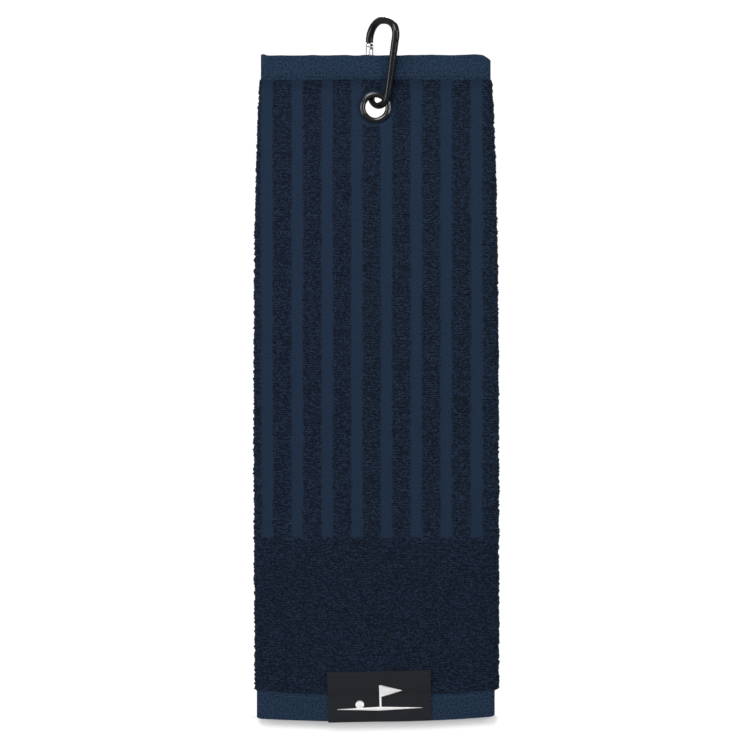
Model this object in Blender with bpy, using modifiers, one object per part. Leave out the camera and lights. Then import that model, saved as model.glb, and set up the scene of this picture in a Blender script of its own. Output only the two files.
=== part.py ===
"""Golf towel: a terry towel folded in three, a grommet through its top, and a snap hook through the grommet.

The towel hangs in the XZ plane with its front facing -Y and +Z up. The origin is the inside of the
snap hook's top bend, where a bag's ring or hook bears. Lengths are in metres, angles in radians.
"""

import math

import bmesh
import bpy
from mathutils import Matrix, Vector

MM = 0.001
CLEARANCE = 0.3 * MM

# Towel. Depths are measured down from its top edge.
TOWEL_X = -6.4 * MM
TOWEL_TOP_Z = -19.0 * MM
TOWEL_LENGTH = 406.0 * MM
TOWEL_WIDTH = 149.4 * MM
TOP_HEM_WIDTH = 139.8 * MM
BOTTOM_HEM_WIDTH = 144.8 * MM
TOP_HEM = 14.5 * MM
BOTTOM_HEM = 17.4 * MM
HEM_STEP = 1.0 * MM
FLARE_WIDTH = 7.2 * MM
FLARE_DEPTH = 75.0 * MM
LAYER = 1.9 * MM
LAYER_PITCH = LAYER + CLEARANCE
HEM_THINNING = 0.66
FREE_EDGE_INSET = 4.2 * MM
FLAP_DEPTH = 50.0 * MM
ROW_PITCH_TOP = 3.0 * MM
ROW_PITCH_BODY = 60.0 * MM
FOLD_SEGMENTS = 10

# The cloth above the grommet leans forward, clear of the gate.
LEAN = 2.8 * MM
LEAN_START = 9.8 * MM
LEAN_END = 22.0 * MM

# Grommet, through all three layers.
GROMMET_DEPTH = 32.0 * MM
HOLE_R = 6.1 * MM
GROMMET_SHEET = 0.5 * MM
FLANGE_R = 9.0 * MM
CREST_R = 7.9 * MM
CREST_HEIGHT = 2.9 * MM
CREST_BEND_R = 0.75 * MM
SEAT = 1.7 * MM
BARREL_BACK = 2.0 * MM
ROLL_R = 0.7 * MM
WASHER_SHEET = 0.4 * MM
TURN_STEPS = 48
GROMMET_STEP = math.radians(20.0)

# Snap hook: a rod bent to a pear shape between two arcs, a little thicker round its top bend.
ROD_R = 2.15 * MM
TOP_ROD_R = 2.3 * MM
TAPER_LOW = -8.0 * MM
TAPER_HIGH = -3.5 * MM
TOP_ARC_R = 12.6 * MM
BOTTOM_ARC_R = 9.0 * MM
ARC_DISTANCE = 30.55 * MM
BEND_OUT = 2.0 * MM
BEND_UP = 0.7 * MM
LOOP_TILT = math.radians(5.5)
LOOP_TURN = math.radians(38.0)
LOOP_X = -2.3 * MM
LOOP_Y = 0.0 * MM
ARC_STEP = math.radians(9.0)

# Gate, measured up from its pivot along the straight gate side.
PIVOT_FROM_NOSE = 25.5 * MM
NOSE_LENGTH = 0.5 * MM
GATE_R = 2.3 * MM
GATE_END = 2.4 * MM
GATE_CHAMFER = 0.7 * MM
GATE_TOP_GAP = 0.4 * MM
SHOULDER = 3.3 * MM
LUG_THICKNESS = 1.6 * MM
LUG_HALF_WIDTH = 1.7 * MM
LUG_TOP = 2.2 * MM
FORK_SLOT = 2.2 * MM
FORK_DEPTH = 2.9 * MM
RIVET_R = 0.75 * MM
RIVET_HEAD_R = 1.2 * MM
RIVET_HEAD = 0.35 * MM
PIN_CLEARANCE = 0.1 * MM
KEY_THICKNESS = 1.4 * MM
KEY_LENGTH = 3.2 * MM
KEY_FACE_X = 0.2 * MM
KEY_LIP_X = 1.3 * MM
KEY_LIP = 0.55 * MM
KEY_SLOT = 2.0 * MM
KEY_SLOT_DEPTH = 3.9 * MM
LATCH_PIN_R = 0.5 * MM
LATCH_PIN_X = 0.95 * MM
LATCH_PIN_DROP = 1.9 * MM
BORE_R = 1.3 * MM
BORE_TOP = 12.0 * MM
PLUNGER_R = 1.0 * MM
PLUNGER_LENGTH = 4.0 * MM
SPRING_R = 0.9 * MM
SPRING_WIRE_R = 0.16 * MM
SPRING_TURNS = 7
SPRING_POINTS = 10

# Woven label, folded round the bottom hem of the front layer.
LABEL_X = 2.7 * MM
LABEL_WIDTH = 63.0 * MM
LABEL_TOP = 376.2 * MM
LABEL_TILT = math.radians(1.3)
LABEL_SHEET = 0.4 * MM
LABEL_BACK_LEG = 9.0 * MM
LABEL_BELOW = 0.9 * MM
LABEL_SEGMENTS = 6
LABEL_FOLD_SHARE = 0.6
LABEL_ROOM = 0.2 * MM
EMBLEM_SHEET = 0.35 * MM
EMBLEM_DEPTH = 399.0 * MM
EMBLEM_LINE = 52.0 * MM
EMBLEM_LINE_HALF = 1.1 * MM
FLAGSTICK = 14.6 * MM
FLAGSTICK_WIDTH = 1.3 * MM
PENNANT_LENGTH = 13.0 * MM
PENNANT_HEIGHT = 7.6 * MM
BALL_R = 2.6 * MM
BALL_X = -12.0 * MM

THREAD_R = 0.2 * MM
HEM_SEAM = 2.0 * MM
LABEL_SEAM = 1.6 * MM
SEAM_INSET = 1.5 * MM

GROMMET_Z = TOWEL_TOP_Z - GROMMET_DEPTH
LOOP_Z = -(TOP_ARC_R - TOP_ROD_R)
LEG_LEAN = math.asin((TOP_ARC_R - BOTTOM_ARC_R) / ARC_DISTANCE)
NOSE_Z = PIVOT_FROM_NOSE
GATE_TOP = NOSE_Z - GATE_TOP_GAP
HALF_STACK = 1.5 * LAYER + CLEARANCE
FLAP_SPLIT = 0.5 * LAYER + 0.5 * CLEARANCE
FAR = 0.6


def start_scene():
    for old in list(bpy.data.objects):
        bpy.data.objects.remove(old, do_unlink=True)
    groups = {}
    for name in ("golf_towel", "cutters"):
        groups[name] = bpy.data.collections.new(name)
        bpy.context.scene.collection.children.link(groups[name])
    return groups


GROUPS = start_scene()


def material(name, color, roughness, metallic=0.0):
    made = bpy.data.materials.new(name)
    made.use_nodes = True
    shader = made.node_tree.nodes["Principled BSDF"]
    shader.inputs["Base Color"].default_value = (*color, 1.0)
    shader.inputs["Roughness"].default_value = roughness
    shader.inputs["Metallic"].default_value = metallic
    return made


TERRY = material("navy_terry", (0.012, 0.018, 0.034), 0.95)
THREAD = material("navy_thread", (0.025, 0.045, 0.085), 0.7)
WOVEN = material("black_woven", (0.02, 0.021, 0.026), 0.8)
WHITE = material("white_embroidery", (0.85, 0.85, 0.84), 0.6)
GUNMETAL = material("gunmetal", (0.12, 0.12, 0.125), 0.22, 1.0)
BLACK_METAL = material("black_anodised", (0.02, 0.02, 0.024), 0.3, 0.9)
SILVER = material("polished_silver", (0.8, 0.8, 0.8), 0.12, 1.0)
STEEL = material("spring_steel", (0.5, 0.5, 0.5), 0.35, 1.0)


def add_object(name, data, finish=None, parent=None, cutter=False):
    made = bpy.data.objects.new(name, data)
    GROUPS["cutters" if cutter else "golf_towel"].objects.link(made)
    made.parent = parent
    if finish:
        data.materials.append(finish)
    if cutter:
        made.hide_render = True
        made.display_type = "WIRE"
    return made


def mesh_object(name, bm, finish=None, parent=None, cutter=False, smooth=False):
    bmesh.ops.recalc_face_normals(bm, faces=bm.faces)
    data = bpy.data.meshes.new(name)
    bm.to_mesh(data)
    bm.free()
    if smooth:
        data.shade_smooth()
        data.set_sharp_from_angle(angle=math.radians(35))
    return add_object(name, data, finish, parent, cutter)


def box(name, low, high, finish=None, parent=None, cutter=False):
    bm = bmesh.new()
    bmesh.ops.create_cube(bm, size=1.0)
    for vert in bm.verts:
        for axis in range(3):
            vert.co[axis] = low[axis] if vert.co[axis] < 0 else high[axis]
    return mesh_object(name, bm, finish, parent, cutter)


def cylinder(name, radius, start, end, finish=None, parent=None, cutter=False, segments=24):
    """A cylinder between two points."""
    start, end = Vector(start), Vector(end)
    bm = bmesh.new()
    bmesh.ops.create_cone(
        bm, cap_ends=True, segments=segments, radius1=radius, radius2=radius,
        depth=(end - start).length,
    )
    turn = Vector((0, 0, 1)).rotation_difference(end - start).to_matrix().to_4x4()
    bmesh.ops.transform(bm, matrix=Matrix.Translation((start + end) / 2) @ turn, verts=bm.verts)
    return mesh_object(name, bm, finish, parent, cutter, smooth=True)


def boolean(target, other, operation="DIFFERENCE"):
    """Joins or cuts target with a guide object, which stays out of the build."""
    step = target.modifiers.new(other.name, "BOOLEAN")
    step.operation = operation
    step.solver = "EXACT"
    step.object = other
    return step


def evaluated_mesh(source):
    """The object's mesh with its modifiers applied, in its own coordinates."""
    bpy.context.view_layer.update()
    graph = bpy.context.evaluated_depsgraph_get()
    return bpy.data.meshes.new_from_object(source.evaluated_get(graph), depsgraph=graph)


def apply_modifiers(target):
    """Makes a piece's modifiers part of its mesh, so that the mesh can be shaped further."""
    data = evaluated_mesh(target)
    target.modifiers.clear()
    target.data = data


def tube(name, points, radius, finish=None, parent=None, resolution=4, scales=None):
    """A round rod along the points, as a curve. scales multiply its radius at each point."""
    curve = bpy.data.curves.new(name, "CURVE")
    curve.dimensions = "3D"
    curve.bevel_depth = radius
    curve.bevel_resolution = resolution
    curve.use_fill_caps = True
    spline = curve.splines.new("POLY")
    spline.points.add(len(points) - 1)
    for i, (place, point) in enumerate(zip(spline.points, points)):
        place.co = (*point, 1.0)
        place.radius = scales[i] if scales else 1.0
    return add_object(name, curve, finish, parent)


def curve_to_mesh(source, smooth=True):
    """Replaces a curve object with a mesh object whose caps are welded on."""
    data = evaluated_mesh(source)
    bm = bmesh.new()
    bm.from_mesh(data)
    bmesh.ops.remove_doubles(bm, verts=bm.verts, dist=0.001 * MM)
    bmesh.ops.recalc_face_normals(bm, faces=bm.faces)
    bm.to_mesh(data)
    bm.free()
    if smooth:
        data.shade_smooth()
        data.set_sharp_from_angle(angle=math.radians(40))
    name, parent, groups = source.name, source.parent, source.users_collection
    place = source.matrix_world.copy()
    bpy.data.objects.remove(source, do_unlink=True)
    made = bpy.data.objects.new(name, data)
    groups[0].objects.link(made)
    made.parent = parent
    made.matrix_world = place
    return made


def arc(centre, radius, start, end, step):
    """Points of an arc in a plane, both ends included."""
    count = max(2, round(abs(end - start) / step))
    turns = [start + (end - start) * i / count for i in range(count + 1)]
    return [(centre[0] + radius * math.cos(t), centre[1] + radius * math.sin(t)) for t in turns]


def thick_outline(path, thickness):
    """The outline of a strip of constant thickness along an open path in a plane."""
    points = [Vector(p) for p in path]
    left, right = [], []
    for i, point in enumerate(points):
        before = (point - points[i - 1]).normalized() if i else None
        after = (points[i + 1] - point).normalized() if i + 1 < len(points) else None
        along = ((before or after) + (after or before)).normalized()
        side = Vector((-along.y, along.x))
        widen = 1.0 / max(0.5, along.dot(after or before))
        left.append(point + side * thickness / 2 * widen)
        right.append(point - side * thickness / 2 * widen)
    return left + right[::-1]


def prism(name, outline, low, high, axes, finish=None, parent=None, cutter=False):
    """An outline in a plane pushed from low to high along the third axis. axes orders the coordinates."""
    bm = bmesh.new()
    verts = []
    for point in outline:
        co = [0.0, 0.0, 0.0]
        co[axes[0]], co[axes[1]], co[axes[2]] = point[0], point[1], low
        verts.append(bm.verts.new(co))
    face = bm.faces.new(verts)
    made = bmesh.ops.extrude_face_region(bm, geom=[face])
    push = [0.0, 0.0, 0.0]
    push[axes[2]] = high - low
    moved = [v for v in made["geom"] if isinstance(v, bmesh.types.BMVert)]
    bmesh.ops.translate(bm, vec=push, verts=moved)
    return mesh_object(name, bm, finish, parent, cutter)


def smoothstep(value, start, end):
    t = min(1.0, max(0.0, (value - start) / (end - start)))
    return t * t * (3 - 2 * t)


# ---------------------------------------------------------------- towel


def half_width(depth):
    """Half the folded towel's width at a depth: narrow flat hems, terry that spreads below the top hem."""
    terry = TOWEL_WIDTH / 2 - FLARE_WIDTH / 2 * math.exp(-(depth - TOP_HEM) / FLARE_DEPTH)
    if depth < TOP_HEM + HEM_STEP:
        top = smoothstep(depth, TOP_HEM, TOP_HEM + HEM_STEP)
        return TOP_HEM_WIDTH / 2 * (1 - top) + terry * top
    bottom = smoothstep(depth, TOWEL_LENGTH - BOTTOM_HEM - HEM_STEP, TOWEL_LENGTH - BOTTOM_HEM)
    return terry * (1 - bottom) + BOTTOM_HEM_WIDTH / 2 * bottom


def thickness_share(depth):
    """The hems are woven flat, so the stack is thinner there than in the terry."""
    top = smoothstep(depth, TOP_HEM, TOP_HEM + HEM_STEP)
    bottom = smoothstep(depth, TOWEL_LENGTH - BOTTOM_HEM - HEM_STEP, TOWEL_LENGTH - BOTTOM_HEM)
    return HEM_THINNING + (1 - HEM_THINNING) * (top - bottom)


def lean(depth):
    """How far the cloth stands forward above the grommet."""
    return -LEAN * smoothstep(GROMMET_DEPTH - depth, LEAN_START, LEAN_END)


def stack_y(y, depth):
    """A layer's place across the stack, from its place in the full-thickness terry."""
    return y * thickness_share(depth) + lean(depth)


def towel_place(co):
    """Moves a point of the plain folded block, whose top edge is at z = 0, to its place on the towel."""
    depth = -co.z
    return Vector((
        TOWEL_X + co.x * half_width(depth) / (TOWEL_WIDTH / 2),
        stack_y(co.y, depth),
        TOWEL_TOP_Z + co.z,
    ))


def fold_path():
    """The centre of the cloth seen from above: inner third, left fold, front, right fold, back third."""
    step = math.pi / FOLD_SEGMENTS
    front_y, back_y = -LAYER_PITCH, LAYER_PITCH
    left_fold = (-TOWEL_WIDTH / 2 + (LAYER_PITCH + LAYER) / 2, front_y / 2)
    right_fold = (TOWEL_WIDTH / 2 - HALF_STACK, 0.0)
    path = [(TOWEL_WIDTH / 2 - FREE_EDGE_INSET, 0.0)]
    path += arc(left_fold, LAYER_PITCH / 2, math.pi / 2, 3 * math.pi / 2, step)
    path += arc(right_fold, LAYER_PITCH, -math.pi / 2, math.pi / 2, step)
    path.append((-TOWEL_WIDTH / 2 + FREE_EDGE_INSET, back_y))
    return path


def row_depths():
    """Depths where the block is cut into rows, so that it can follow the hems and the lean."""
    rows, depth = [], ROW_PITCH_TOP
    while depth < GROMMET_DEPTH:
        rows.append(depth)
        depth += ROW_PITCH_TOP
    depth = GROMMET_DEPTH + ROW_PITCH_BODY / 2
    while depth < TOWEL_LENGTH - BOTTOM_HEM - ROW_PITCH_BODY / 2:
        rows.append(depth)
        depth += ROW_PITCH_BODY
    for edge in (TOP_HEM, TOWEL_LENGTH - BOTTOM_HEM - HEM_STEP):
        rows += [edge, edge + HEM_STEP]
    return sorted(rows)


def shape_towel(piece):
    """Cuts the block into rows and moves every point to its place."""
    bm = bmesh.new()
    bm.from_mesh(piece.data)
    for depth in row_depths():
        bmesh.ops.bisect_plane(
            bm, geom=bm.verts[:] + bm.edges[:] + bm.faces[:], dist=0.001 * MM,
            plane_co=(0, 0, -depth), plane_no=(0, 0, 1),
        )
    for vert in bm.verts:
        vert.co = towel_place(vert.co)
    bm.to_mesh(piece.data)
    bm.free()


def folded_block(name, flap):
    """The folded cloth as one block, cut to the fixed part or to the flap."""
    outline = thick_outline(fold_path(), LAYER)
    piece = prism(name, outline, -TOWEL_LENGTH, 0.0, (0, 1, 2), TERRY)
    gap = CLEARANCE if flap else 0.0
    guide = box(
        name + "_side", (-FAR, FLAP_SPLIT + gap / 2, -FAR), (FAR, FAR, -FLAP_DEPTH - gap), cutter=True,
    )
    boolean(piece, guide, "INTERSECT" if flap else "DIFFERENCE")
    apply_modifiers(piece)
    shape_towel(piece)
    return piece


def make_cloth():
    cloth = folded_block("towel_cloth", flap=False)
    centre = Vector((TOWEL_X, 0, GROMMET_Z))
    depth = Vector((0, 2 * HALF_STACK, 0))
    barrel = HOLE_R + GROMMET_SHEET + CLEARANCE
    seat = Vector((0, SEAT, 0))
    flange = FLANGE_R + 2 * CLEARANCE
    hole = cylinder("grommet_hole", barrel, centre - depth, centre + depth, cutter=True, segments=TURN_STEPS)
    front = cylinder("front_seat", flange, centre - depth, centre - seat, cutter=True, segments=TURN_STEPS)
    back = cylinder("back_seat", flange, centre + seat, centre + depth, cutter=True, segments=TURN_STEPS)
    for cutter in (hole, front, back, label_pocket()):
        boolean(cloth, cutter)
    flap = folded_block("back_flap", flap=True)
    hinge = Vector(flap_hinge())
    flap.data.transform(Matrix.Translation(-hinge))
    flap.location = hinge


def flap_hinge():
    """A point on the vertical fold line that the back flap turns about."""
    reach = math.sqrt(HALF_STACK**2 - FLAP_SPLIT**2)
    return (TOWEL_X + TOWEL_WIDTH / 2 - HALF_STACK + reach, FLAP_SPLIT, TOWEL_TOP_Z - FLAP_DEPTH)


# ---------------------------------------------------------------- grommet


def turned(name, profile, finish):
    """Turns a closed profile of (radius, height towards the front) about the grommet's axis."""
    bm = bmesh.new()
    verts = [bm.verts.new((r, 0.0, z)) for r, z in profile]
    for i, vert in enumerate(verts):
        bm.edges.new((vert, verts[(i + 1) % len(verts)]))
    data = bpy.data.meshes.new(name)
    bm.to_mesh(data)
    bm.free()
    piece = add_object(name, data, finish)
    screw = piece.modifiers.new("turn", "SCREW")
    screw.steps = screw.render_steps = TURN_STEPS
    screw.use_merge_vertices = True
    screw.merge_threshold = 0.001 * MM
    screw.use_normal_calculate = True
    piece.location = (TOWEL_X, 0, GROMMET_Z)
    piece.rotation_euler = (math.pi / 2, 0, 0)
    return piece


def make_grommet():
    barrel = HOLE_R + GROMMET_SHEET / 2
    throat = CREST_HEIGHT - (CREST_R - barrel)
    rim_turn, throat_turn = math.pi / 6, math.pi / 2 + GROMMET_STEP
    path = [(FLANGE_R - GROMMET_SHEET / 2, SEAT + CLEARANCE + GROMMET_SHEET / 2)]
    path += arc((CREST_R, CREST_HEIGHT - CREST_BEND_R), CREST_BEND_R, rim_turn, math.pi / 2, GROMMET_STEP)
    path += arc((CREST_R, throat), CREST_R - barrel, throat_turn, math.pi, GROMMET_STEP)
    path += arc((barrel + ROLL_R, -BARREL_BACK), ROLL_R, math.pi, 1.5 * math.pi, 1.5 * GROMMET_STEP)
    path.append((barrel + 2 * ROLL_R, -BARREL_BACK - ROLL_R))
    turned("grommet_eyelet", thick_outline(path, GROMMET_SHEET)[::-1], GUNMETAL)
    inner = HOLE_R + GROMMET_SHEET + CLEARANCE
    top = -SEAT - CLEARANCE
    bottom = top - WASHER_SHEET
    chamfer = WASHER_SHEET / 2
    rim = [(FLANGE_R, top), (FLANGE_R, bottom + chamfer), (FLANGE_R - chamfer, bottom)]
    turned("grommet_washer", rim + [(inner, bottom), (inner, top)], GUNMETAL)


# ---------------------------------------------------------------- snap hook


def empty(name, location, rotation, mode, parent=None):
    made = bpy.data.objects.new(name, None)
    GROUPS["golf_towel"].objects.link(made)
    made.location = location
    made.rotation_mode = mode
    made.rotation_euler = rotation
    made.parent = parent
    return made


def loop_frame():
    """Local X runs from the gate side to the spine, local Z along the hook, from the top arc's centre."""
    turn = (0, LOOP_TILT, LOOP_TURN - math.pi / 2)
    return empty("hook_frame", (LOOP_X, LOOP_Y, LOOP_Z), turn, "ZYX")


def gate_side(distance):
    """The point on the gate side's centre line, this far below the top arc's tangent."""
    along = Vector((math.sin(LEG_LEAN), 0, -math.cos(LEG_LEAN)))
    start = Vector((-TOP_ARC_R * math.cos(LEG_LEAN), 0, -TOP_ARC_R * math.sin(LEG_LEAN)))
    return start + along * distance


def gate_frame(hook):
    """Local Z runs up the gate from its pivot, local X into the loop."""
    return empty("gate_frame", gate_side(NOSE_LENGTH + PIVOT_FROM_NOSE), (0, -LEG_LEAN, 0), "XYZ", hook)


def square_bend(x, z):
    """A point of the top arc, moved out so that the bend is squarer on the spine's side."""
    push = math.sin(2 * math.atan2(z, x)) if x > 0 and z > 0 else 0.0
    return x + BEND_OUT * push, z + BEND_UP * push


def rod_points():
    """The rod's centre line from the nose, over the top, down the spine and up to the pivot shoulder."""
    low = -LEG_LEAN
    points = [tuple(gate_side(NOSE_LENGTH))]
    top = arc((0, 0), TOP_ARC_R, math.pi - low, low, ARC_STEP)
    bottom = arc((0, -ARC_DISTANCE), BOTTOM_ARC_R, low, -math.pi - low, ARC_STEP)
    points += [(x, 0.0, z) for x, z in [square_bend(x, z) for x, z in top] + bottom]
    points.append(tuple(gate_side(NOSE_LENGTH + PIVOT_FROM_NOSE + SHOULDER)))
    return points


def make_hook_body(hook, gate):
    points = rod_points()
    growth = TOP_ROD_R / ROD_R - 1
    scales = [1 + growth * smoothstep(point[2], TAPER_LOW, TAPER_HIGH) for point in points]
    body = tube("hook_body", points, ROD_R, BLACK_METAL, hook, scales=scales)
    body = curve_to_mesh(body)
    lug = make_lug(gate)
    key_bottom = NOSE_Z - KEY_LENGTH
    outline = [
        (-LUG_HALF_WIDTH, NOSE_Z + MM), (-LUG_HALF_WIDTH, key_bottom), (KEY_LIP_X, key_bottom),
        (KEY_LIP_X, key_bottom + KEY_LIP), (KEY_FACE_X, key_bottom + KEY_LIP), (KEY_FACE_X, NOSE_Z + MM),
    ]
    half = KEY_THICKNESS / 2
    key = prism("nose_key", outline, -half, half, (0, 2, 1), parent=gate, cutter=True)
    boolean(body, lug, "UNION")
    boolean(body, key, "UNION")
    boolean(body, cross_hole("lug_hole", RIVET_R + PIN_CLEARANCE, (0, 0), gate))
    return body


def make_lug(gate):
    """The flat lug that the gate's fork turns on, with its top round about the pivot."""
    edge = math.acos(LUG_HALF_WIDTH / LUG_TOP)
    outline = arc((0, 0), LUG_TOP, edge, math.pi - edge, ARC_STEP)
    outline += [(-LUG_HALF_WIDTH, -SHOULDER - MM), (LUG_HALF_WIDTH, -SHOULDER - MM)]
    half = LUG_THICKNESS / 2
    return prism("pivot_lug", outline, -half, half, (0, 2, 1), parent=gate, cutter=True)


def cross_hole(name, radius, place, gate):
    """A guide cylinder across the hook's plane, at (x, z) in the gate's frame."""
    x, z = place
    reach = 2 * GATE_R
    return cylinder(name, radius, (x, -reach, z), (x, reach, z), parent=gate, cutter=True)


def make_gate(gate):
    tube_end = Vector((0, 0, GATE_TOP))
    piece = cylinder("gate", GATE_R, (0, 0, -GATE_END), tube_end, SILVER, gate, segments=32)
    bevel = piece.modifiers.new("chamfer", "BEVEL")
    bevel.width = GATE_CHAMFER
    bevel.segments = 2
    bevel.limit_method = "ANGLE"
    bevel.angle_limit = math.radians(60)
    wide = 2 * GATE_R
    fork_low, fork_high = (-wide, -FORK_SLOT / 2, -wide), (wide, FORK_SLOT / 2, FORK_DEPTH)
    fork = box("fork_slot", fork_low, fork_high, parent=gate, cutter=True)
    key = box(
        "key_slot", (-wide, -KEY_SLOT / 2, GATE_TOP - KEY_SLOT_DEPTH),
        (wide, KEY_SLOT / 2, GATE_TOP + wide), parent=gate, cutter=True,
    )
    bore_start, bore_end = (0, 0, FORK_DEPTH / 2), (0, 0, BORE_TOP)
    bore = cylinder("plunger_bore", BORE_R, bore_start, bore_end, parent=gate, cutter=True)
    pin_z = NOSE_Z - LATCH_PIN_DROP
    rivet_hole = cross_hole("rivet_hole", RIVET_R + PIN_CLEARANCE, (0, 0), gate)
    pin_hole = cross_hole("latch_pin_hole", LATCH_PIN_R + PIN_CLEARANCE, (LATCH_PIN_X, pin_z), gate)
    for cutter in (fork, key, bore, rivet_hole, pin_hole):
        boolean(piece, cutter)
    reach = math.sqrt(GATE_R**2 - LATCH_PIN_X**2)
    cylinder("latch_pin", LATCH_PIN_R, (LATCH_PIN_X, -reach, pin_z), (LATCH_PIN_X, reach, pin_z), STEEL, gate)


def make_rivet(gate):
    """A rivet through the gate's fork and the hook's lug, with a head at each end."""
    face = GATE_R + PIN_CLEARANCE
    reach = face + RIVET_HEAD / 2
    rivet = cylinder("gate_rivet", RIVET_R, (0, -reach, 0), (0, reach, 0), STEEL, gate)
    for side in (-1, 1):
        start, end = (0, side * face, 0), (0, side * (face + RIVET_HEAD), 0)
        name = "rivet_head_back" if side > 0 else "rivet_head_front"
        boolean(rivet, cylinder(name, RIVET_HEAD_R, start, end, parent=gate, cutter=True), "UNION")


def make_gate_spring(gate):
    """The plunger that bears on the lug's top, and the coil spring that pushes it."""
    foot = LUG_TOP + CLEARANCE
    top = foot + PLUNGER_LENGTH
    cylinder("gate_plunger", PLUNGER_R, (0, 0, foot), (0, 0, top), STEEL, gate)
    start = top + SPRING_WIRE_R + CLEARANCE
    rise = BORE_TOP - CLEARANCE - SPRING_WIRE_R - start
    count = SPRING_TURNS * SPRING_POINTS
    points = []
    for i in range(count + 1):
        turn = 2 * math.pi * i / SPRING_POINTS
        points.append((SPRING_R * math.cos(turn), SPRING_R * math.sin(turn), start + rise * i / count))
    curve_to_mesh(tube("gate_spring", points, SPRING_WIRE_R, STEEL, gate, resolution=2))


# ---------------------------------------------------------------- label and seams


def label_frame():
    """The label's own frame: X across it and Z up, from the middle of the towel's bottom edge."""
    place = (TOWEL_X + LABEL_X, 0, TOWEL_TOP_Z - TOWEL_LENGTH)
    return empty("label_frame", place, (0, -LABEL_TILT, 0), "XYZ")


def label_front_y():
    return -HALF_STACK - CLEARANCE - LABEL_SHEET / 2


def label_back_y():
    """The label's back leg lies between the front layer and the inner one."""
    front_layer_back = -(LAYER / 2 + CLEARANCE) * HEM_THINNING
    return front_layer_back + LABEL_ROOM + LABEL_SHEET / 2


def label_pocket():
    """Room in the inner layer for the label's back leg."""
    half = LABEL_WIDTH / 2 + CLEARANCE
    reach = LABEL_SHEET / 2 + LABEL_ROOM
    low = (-half, label_back_y() - reach, -LABEL_BACK_LEG)
    high = (half, label_back_y() + reach, LABEL_BACK_LEG + MM)
    return box("label_pocket", low, high, parent=LABEL_FRAME, cutter=True)


def make_label():
    top = TOWEL_LENGTH - LABEL_TOP
    front, back = label_front_y(), label_back_y()
    radius = (back - front) / 2
    drop = LABEL_FOLD_SHARE * radius
    dip = drop - CLEARANCE - LABEL_BELOW - LABEL_SHEET / 2
    path = [(front, top)]
    for y, z in arc((0, 0), radius, math.pi, 2 * math.pi, math.pi / LABEL_SEGMENTS):
        path.append((y + (front + back) / 2, dip + LABEL_FOLD_SHARE * z))
    path.append((back, LABEL_BACK_LEG))
    outline = thick_outline(path, LABEL_SHEET)
    prism("label", outline, -LABEL_WIDTH / 2, LABEL_WIDTH / 2, (1, 2, 0), WOVEN, LABEL_FRAME)


def make_emblem():
    """A pennant on a stick and a ball, on a long tapered ground line, as one raised piece."""
    base = TOWEL_LENGTH - EMBLEM_DEPTH
    face = label_front_y() - LABEL_SHEET / 2 - CLEARANCE
    near, far = face - EMBLEM_SHEET, face
    half, thick = EMBLEM_LINE / 2, EMBLEM_LINE_HALF
    line = [(-half, 0), (0, -thick), (half, 0), (0, thick)]
    stick = [(0, 0), (FLAGSTICK_WIDTH, 0), (FLAGSTICK_WIDTH, FLAGSTICK), (0, FLAGSTICK)]
    tip = (FLAGSTICK_WIDTH + PENNANT_LENGTH, FLAGSTICK - PENNANT_HEIGHT / 2)
    pennant = [(FLAGSTICK_WIDTH / 2, FLAGSTICK - PENNANT_HEIGHT), tip, (FLAGSTICK_WIDTH / 2, FLAGSTICK)]
    ball = arc((BALL_X, BALL_R), BALL_R, 0, 2 * math.pi, math.radians(15))[:-1]
    shapes = {"ground_line": line, "flagstick": stick, "pennant": pennant, "ball": ball}
    made = []
    for name, outline in shapes.items():
        moved = [(x, z + base) for x, z in outline]
        piece = prism(name, moved, near, far, (0, 2, 1), parent=LABEL_FRAME, cutter=True)
        made.append(piece)
    emblem = add_object("label_emblem", made[0].data.copy(), WHITE, LABEL_FRAME)
    for piece in made[1:]:
        boolean(emblem, piece, "UNION")


def make_seams():
    """Sewing thread along both hems and across the label's top."""
    for name, depth, width in (
        ("top_hem_thread", TOP_HEM - HEM_SEAM, TOP_HEM_WIDTH),
        ("bottom_hem_thread", TOWEL_LENGTH - BOTTOM_HEM + HEM_SEAM, BOTTOM_HEM_WIDTH),
    ):
        y = stack_y(-HALF_STACK, depth) - CLEARANCE / 2 - THREAD_R
        z = TOWEL_TOP_Z - depth
        half = width / 2 - SEAM_INSET
        ends = [(-half, half)]
        if name == "bottom_hem_thread":
            gap = LABEL_WIDTH / 2 + SEAM_INSET
            ends = [(-half, LABEL_X - gap), (LABEL_X + gap, half)]
        for i, (left, right) in enumerate(ends):
            part = name if len(ends) == 1 else name + ("_left", "_right")[i]
            cylinder(part, THREAD_R, (TOWEL_X + left, y, z), (TOWEL_X + right, y, z), THREAD, segments=8)
    y = label_front_y() - LABEL_SHEET / 2 - CLEARANCE - THREAD_R
    z = TOWEL_LENGTH - LABEL_TOP - LABEL_SEAM
    half = LABEL_WIDTH / 2 - SEAM_INSET
    cylinder("label_thread", THREAD_R, (-half, y, z), (half, y, z), WOVEN, LABEL_FRAME, segments=8)


LABEL_FRAME = label_frame()
HOOK_FRAME = loop_frame()
GATE_FRAME = gate_frame(HOOK_FRAME)
bpy.context.view_layer.update()
make_cloth()
make_grommet()
make_hook_body(HOOK_FRAME, GATE_FRAME)
make_gate(GATE_FRAME)
make_rivet(GATE_FRAME)
make_gate_spring(GATE_FRAME)
make_label()
make_emblem()
make_seams()
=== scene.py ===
"""The look of the golf towel: folded terry with flat stripes, a woven label, a grommet and a snap hook.

The towel hangs in the XZ plane with its front facing -Y. Lengths are in metres, angles in radians.
Depths are measured down from the towel's top edge, and distances along the cloth from its inner free edge.
"""

import math

import bmesh
import bpy
import numpy as np
from mathutils import Matrix, Vector


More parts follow.
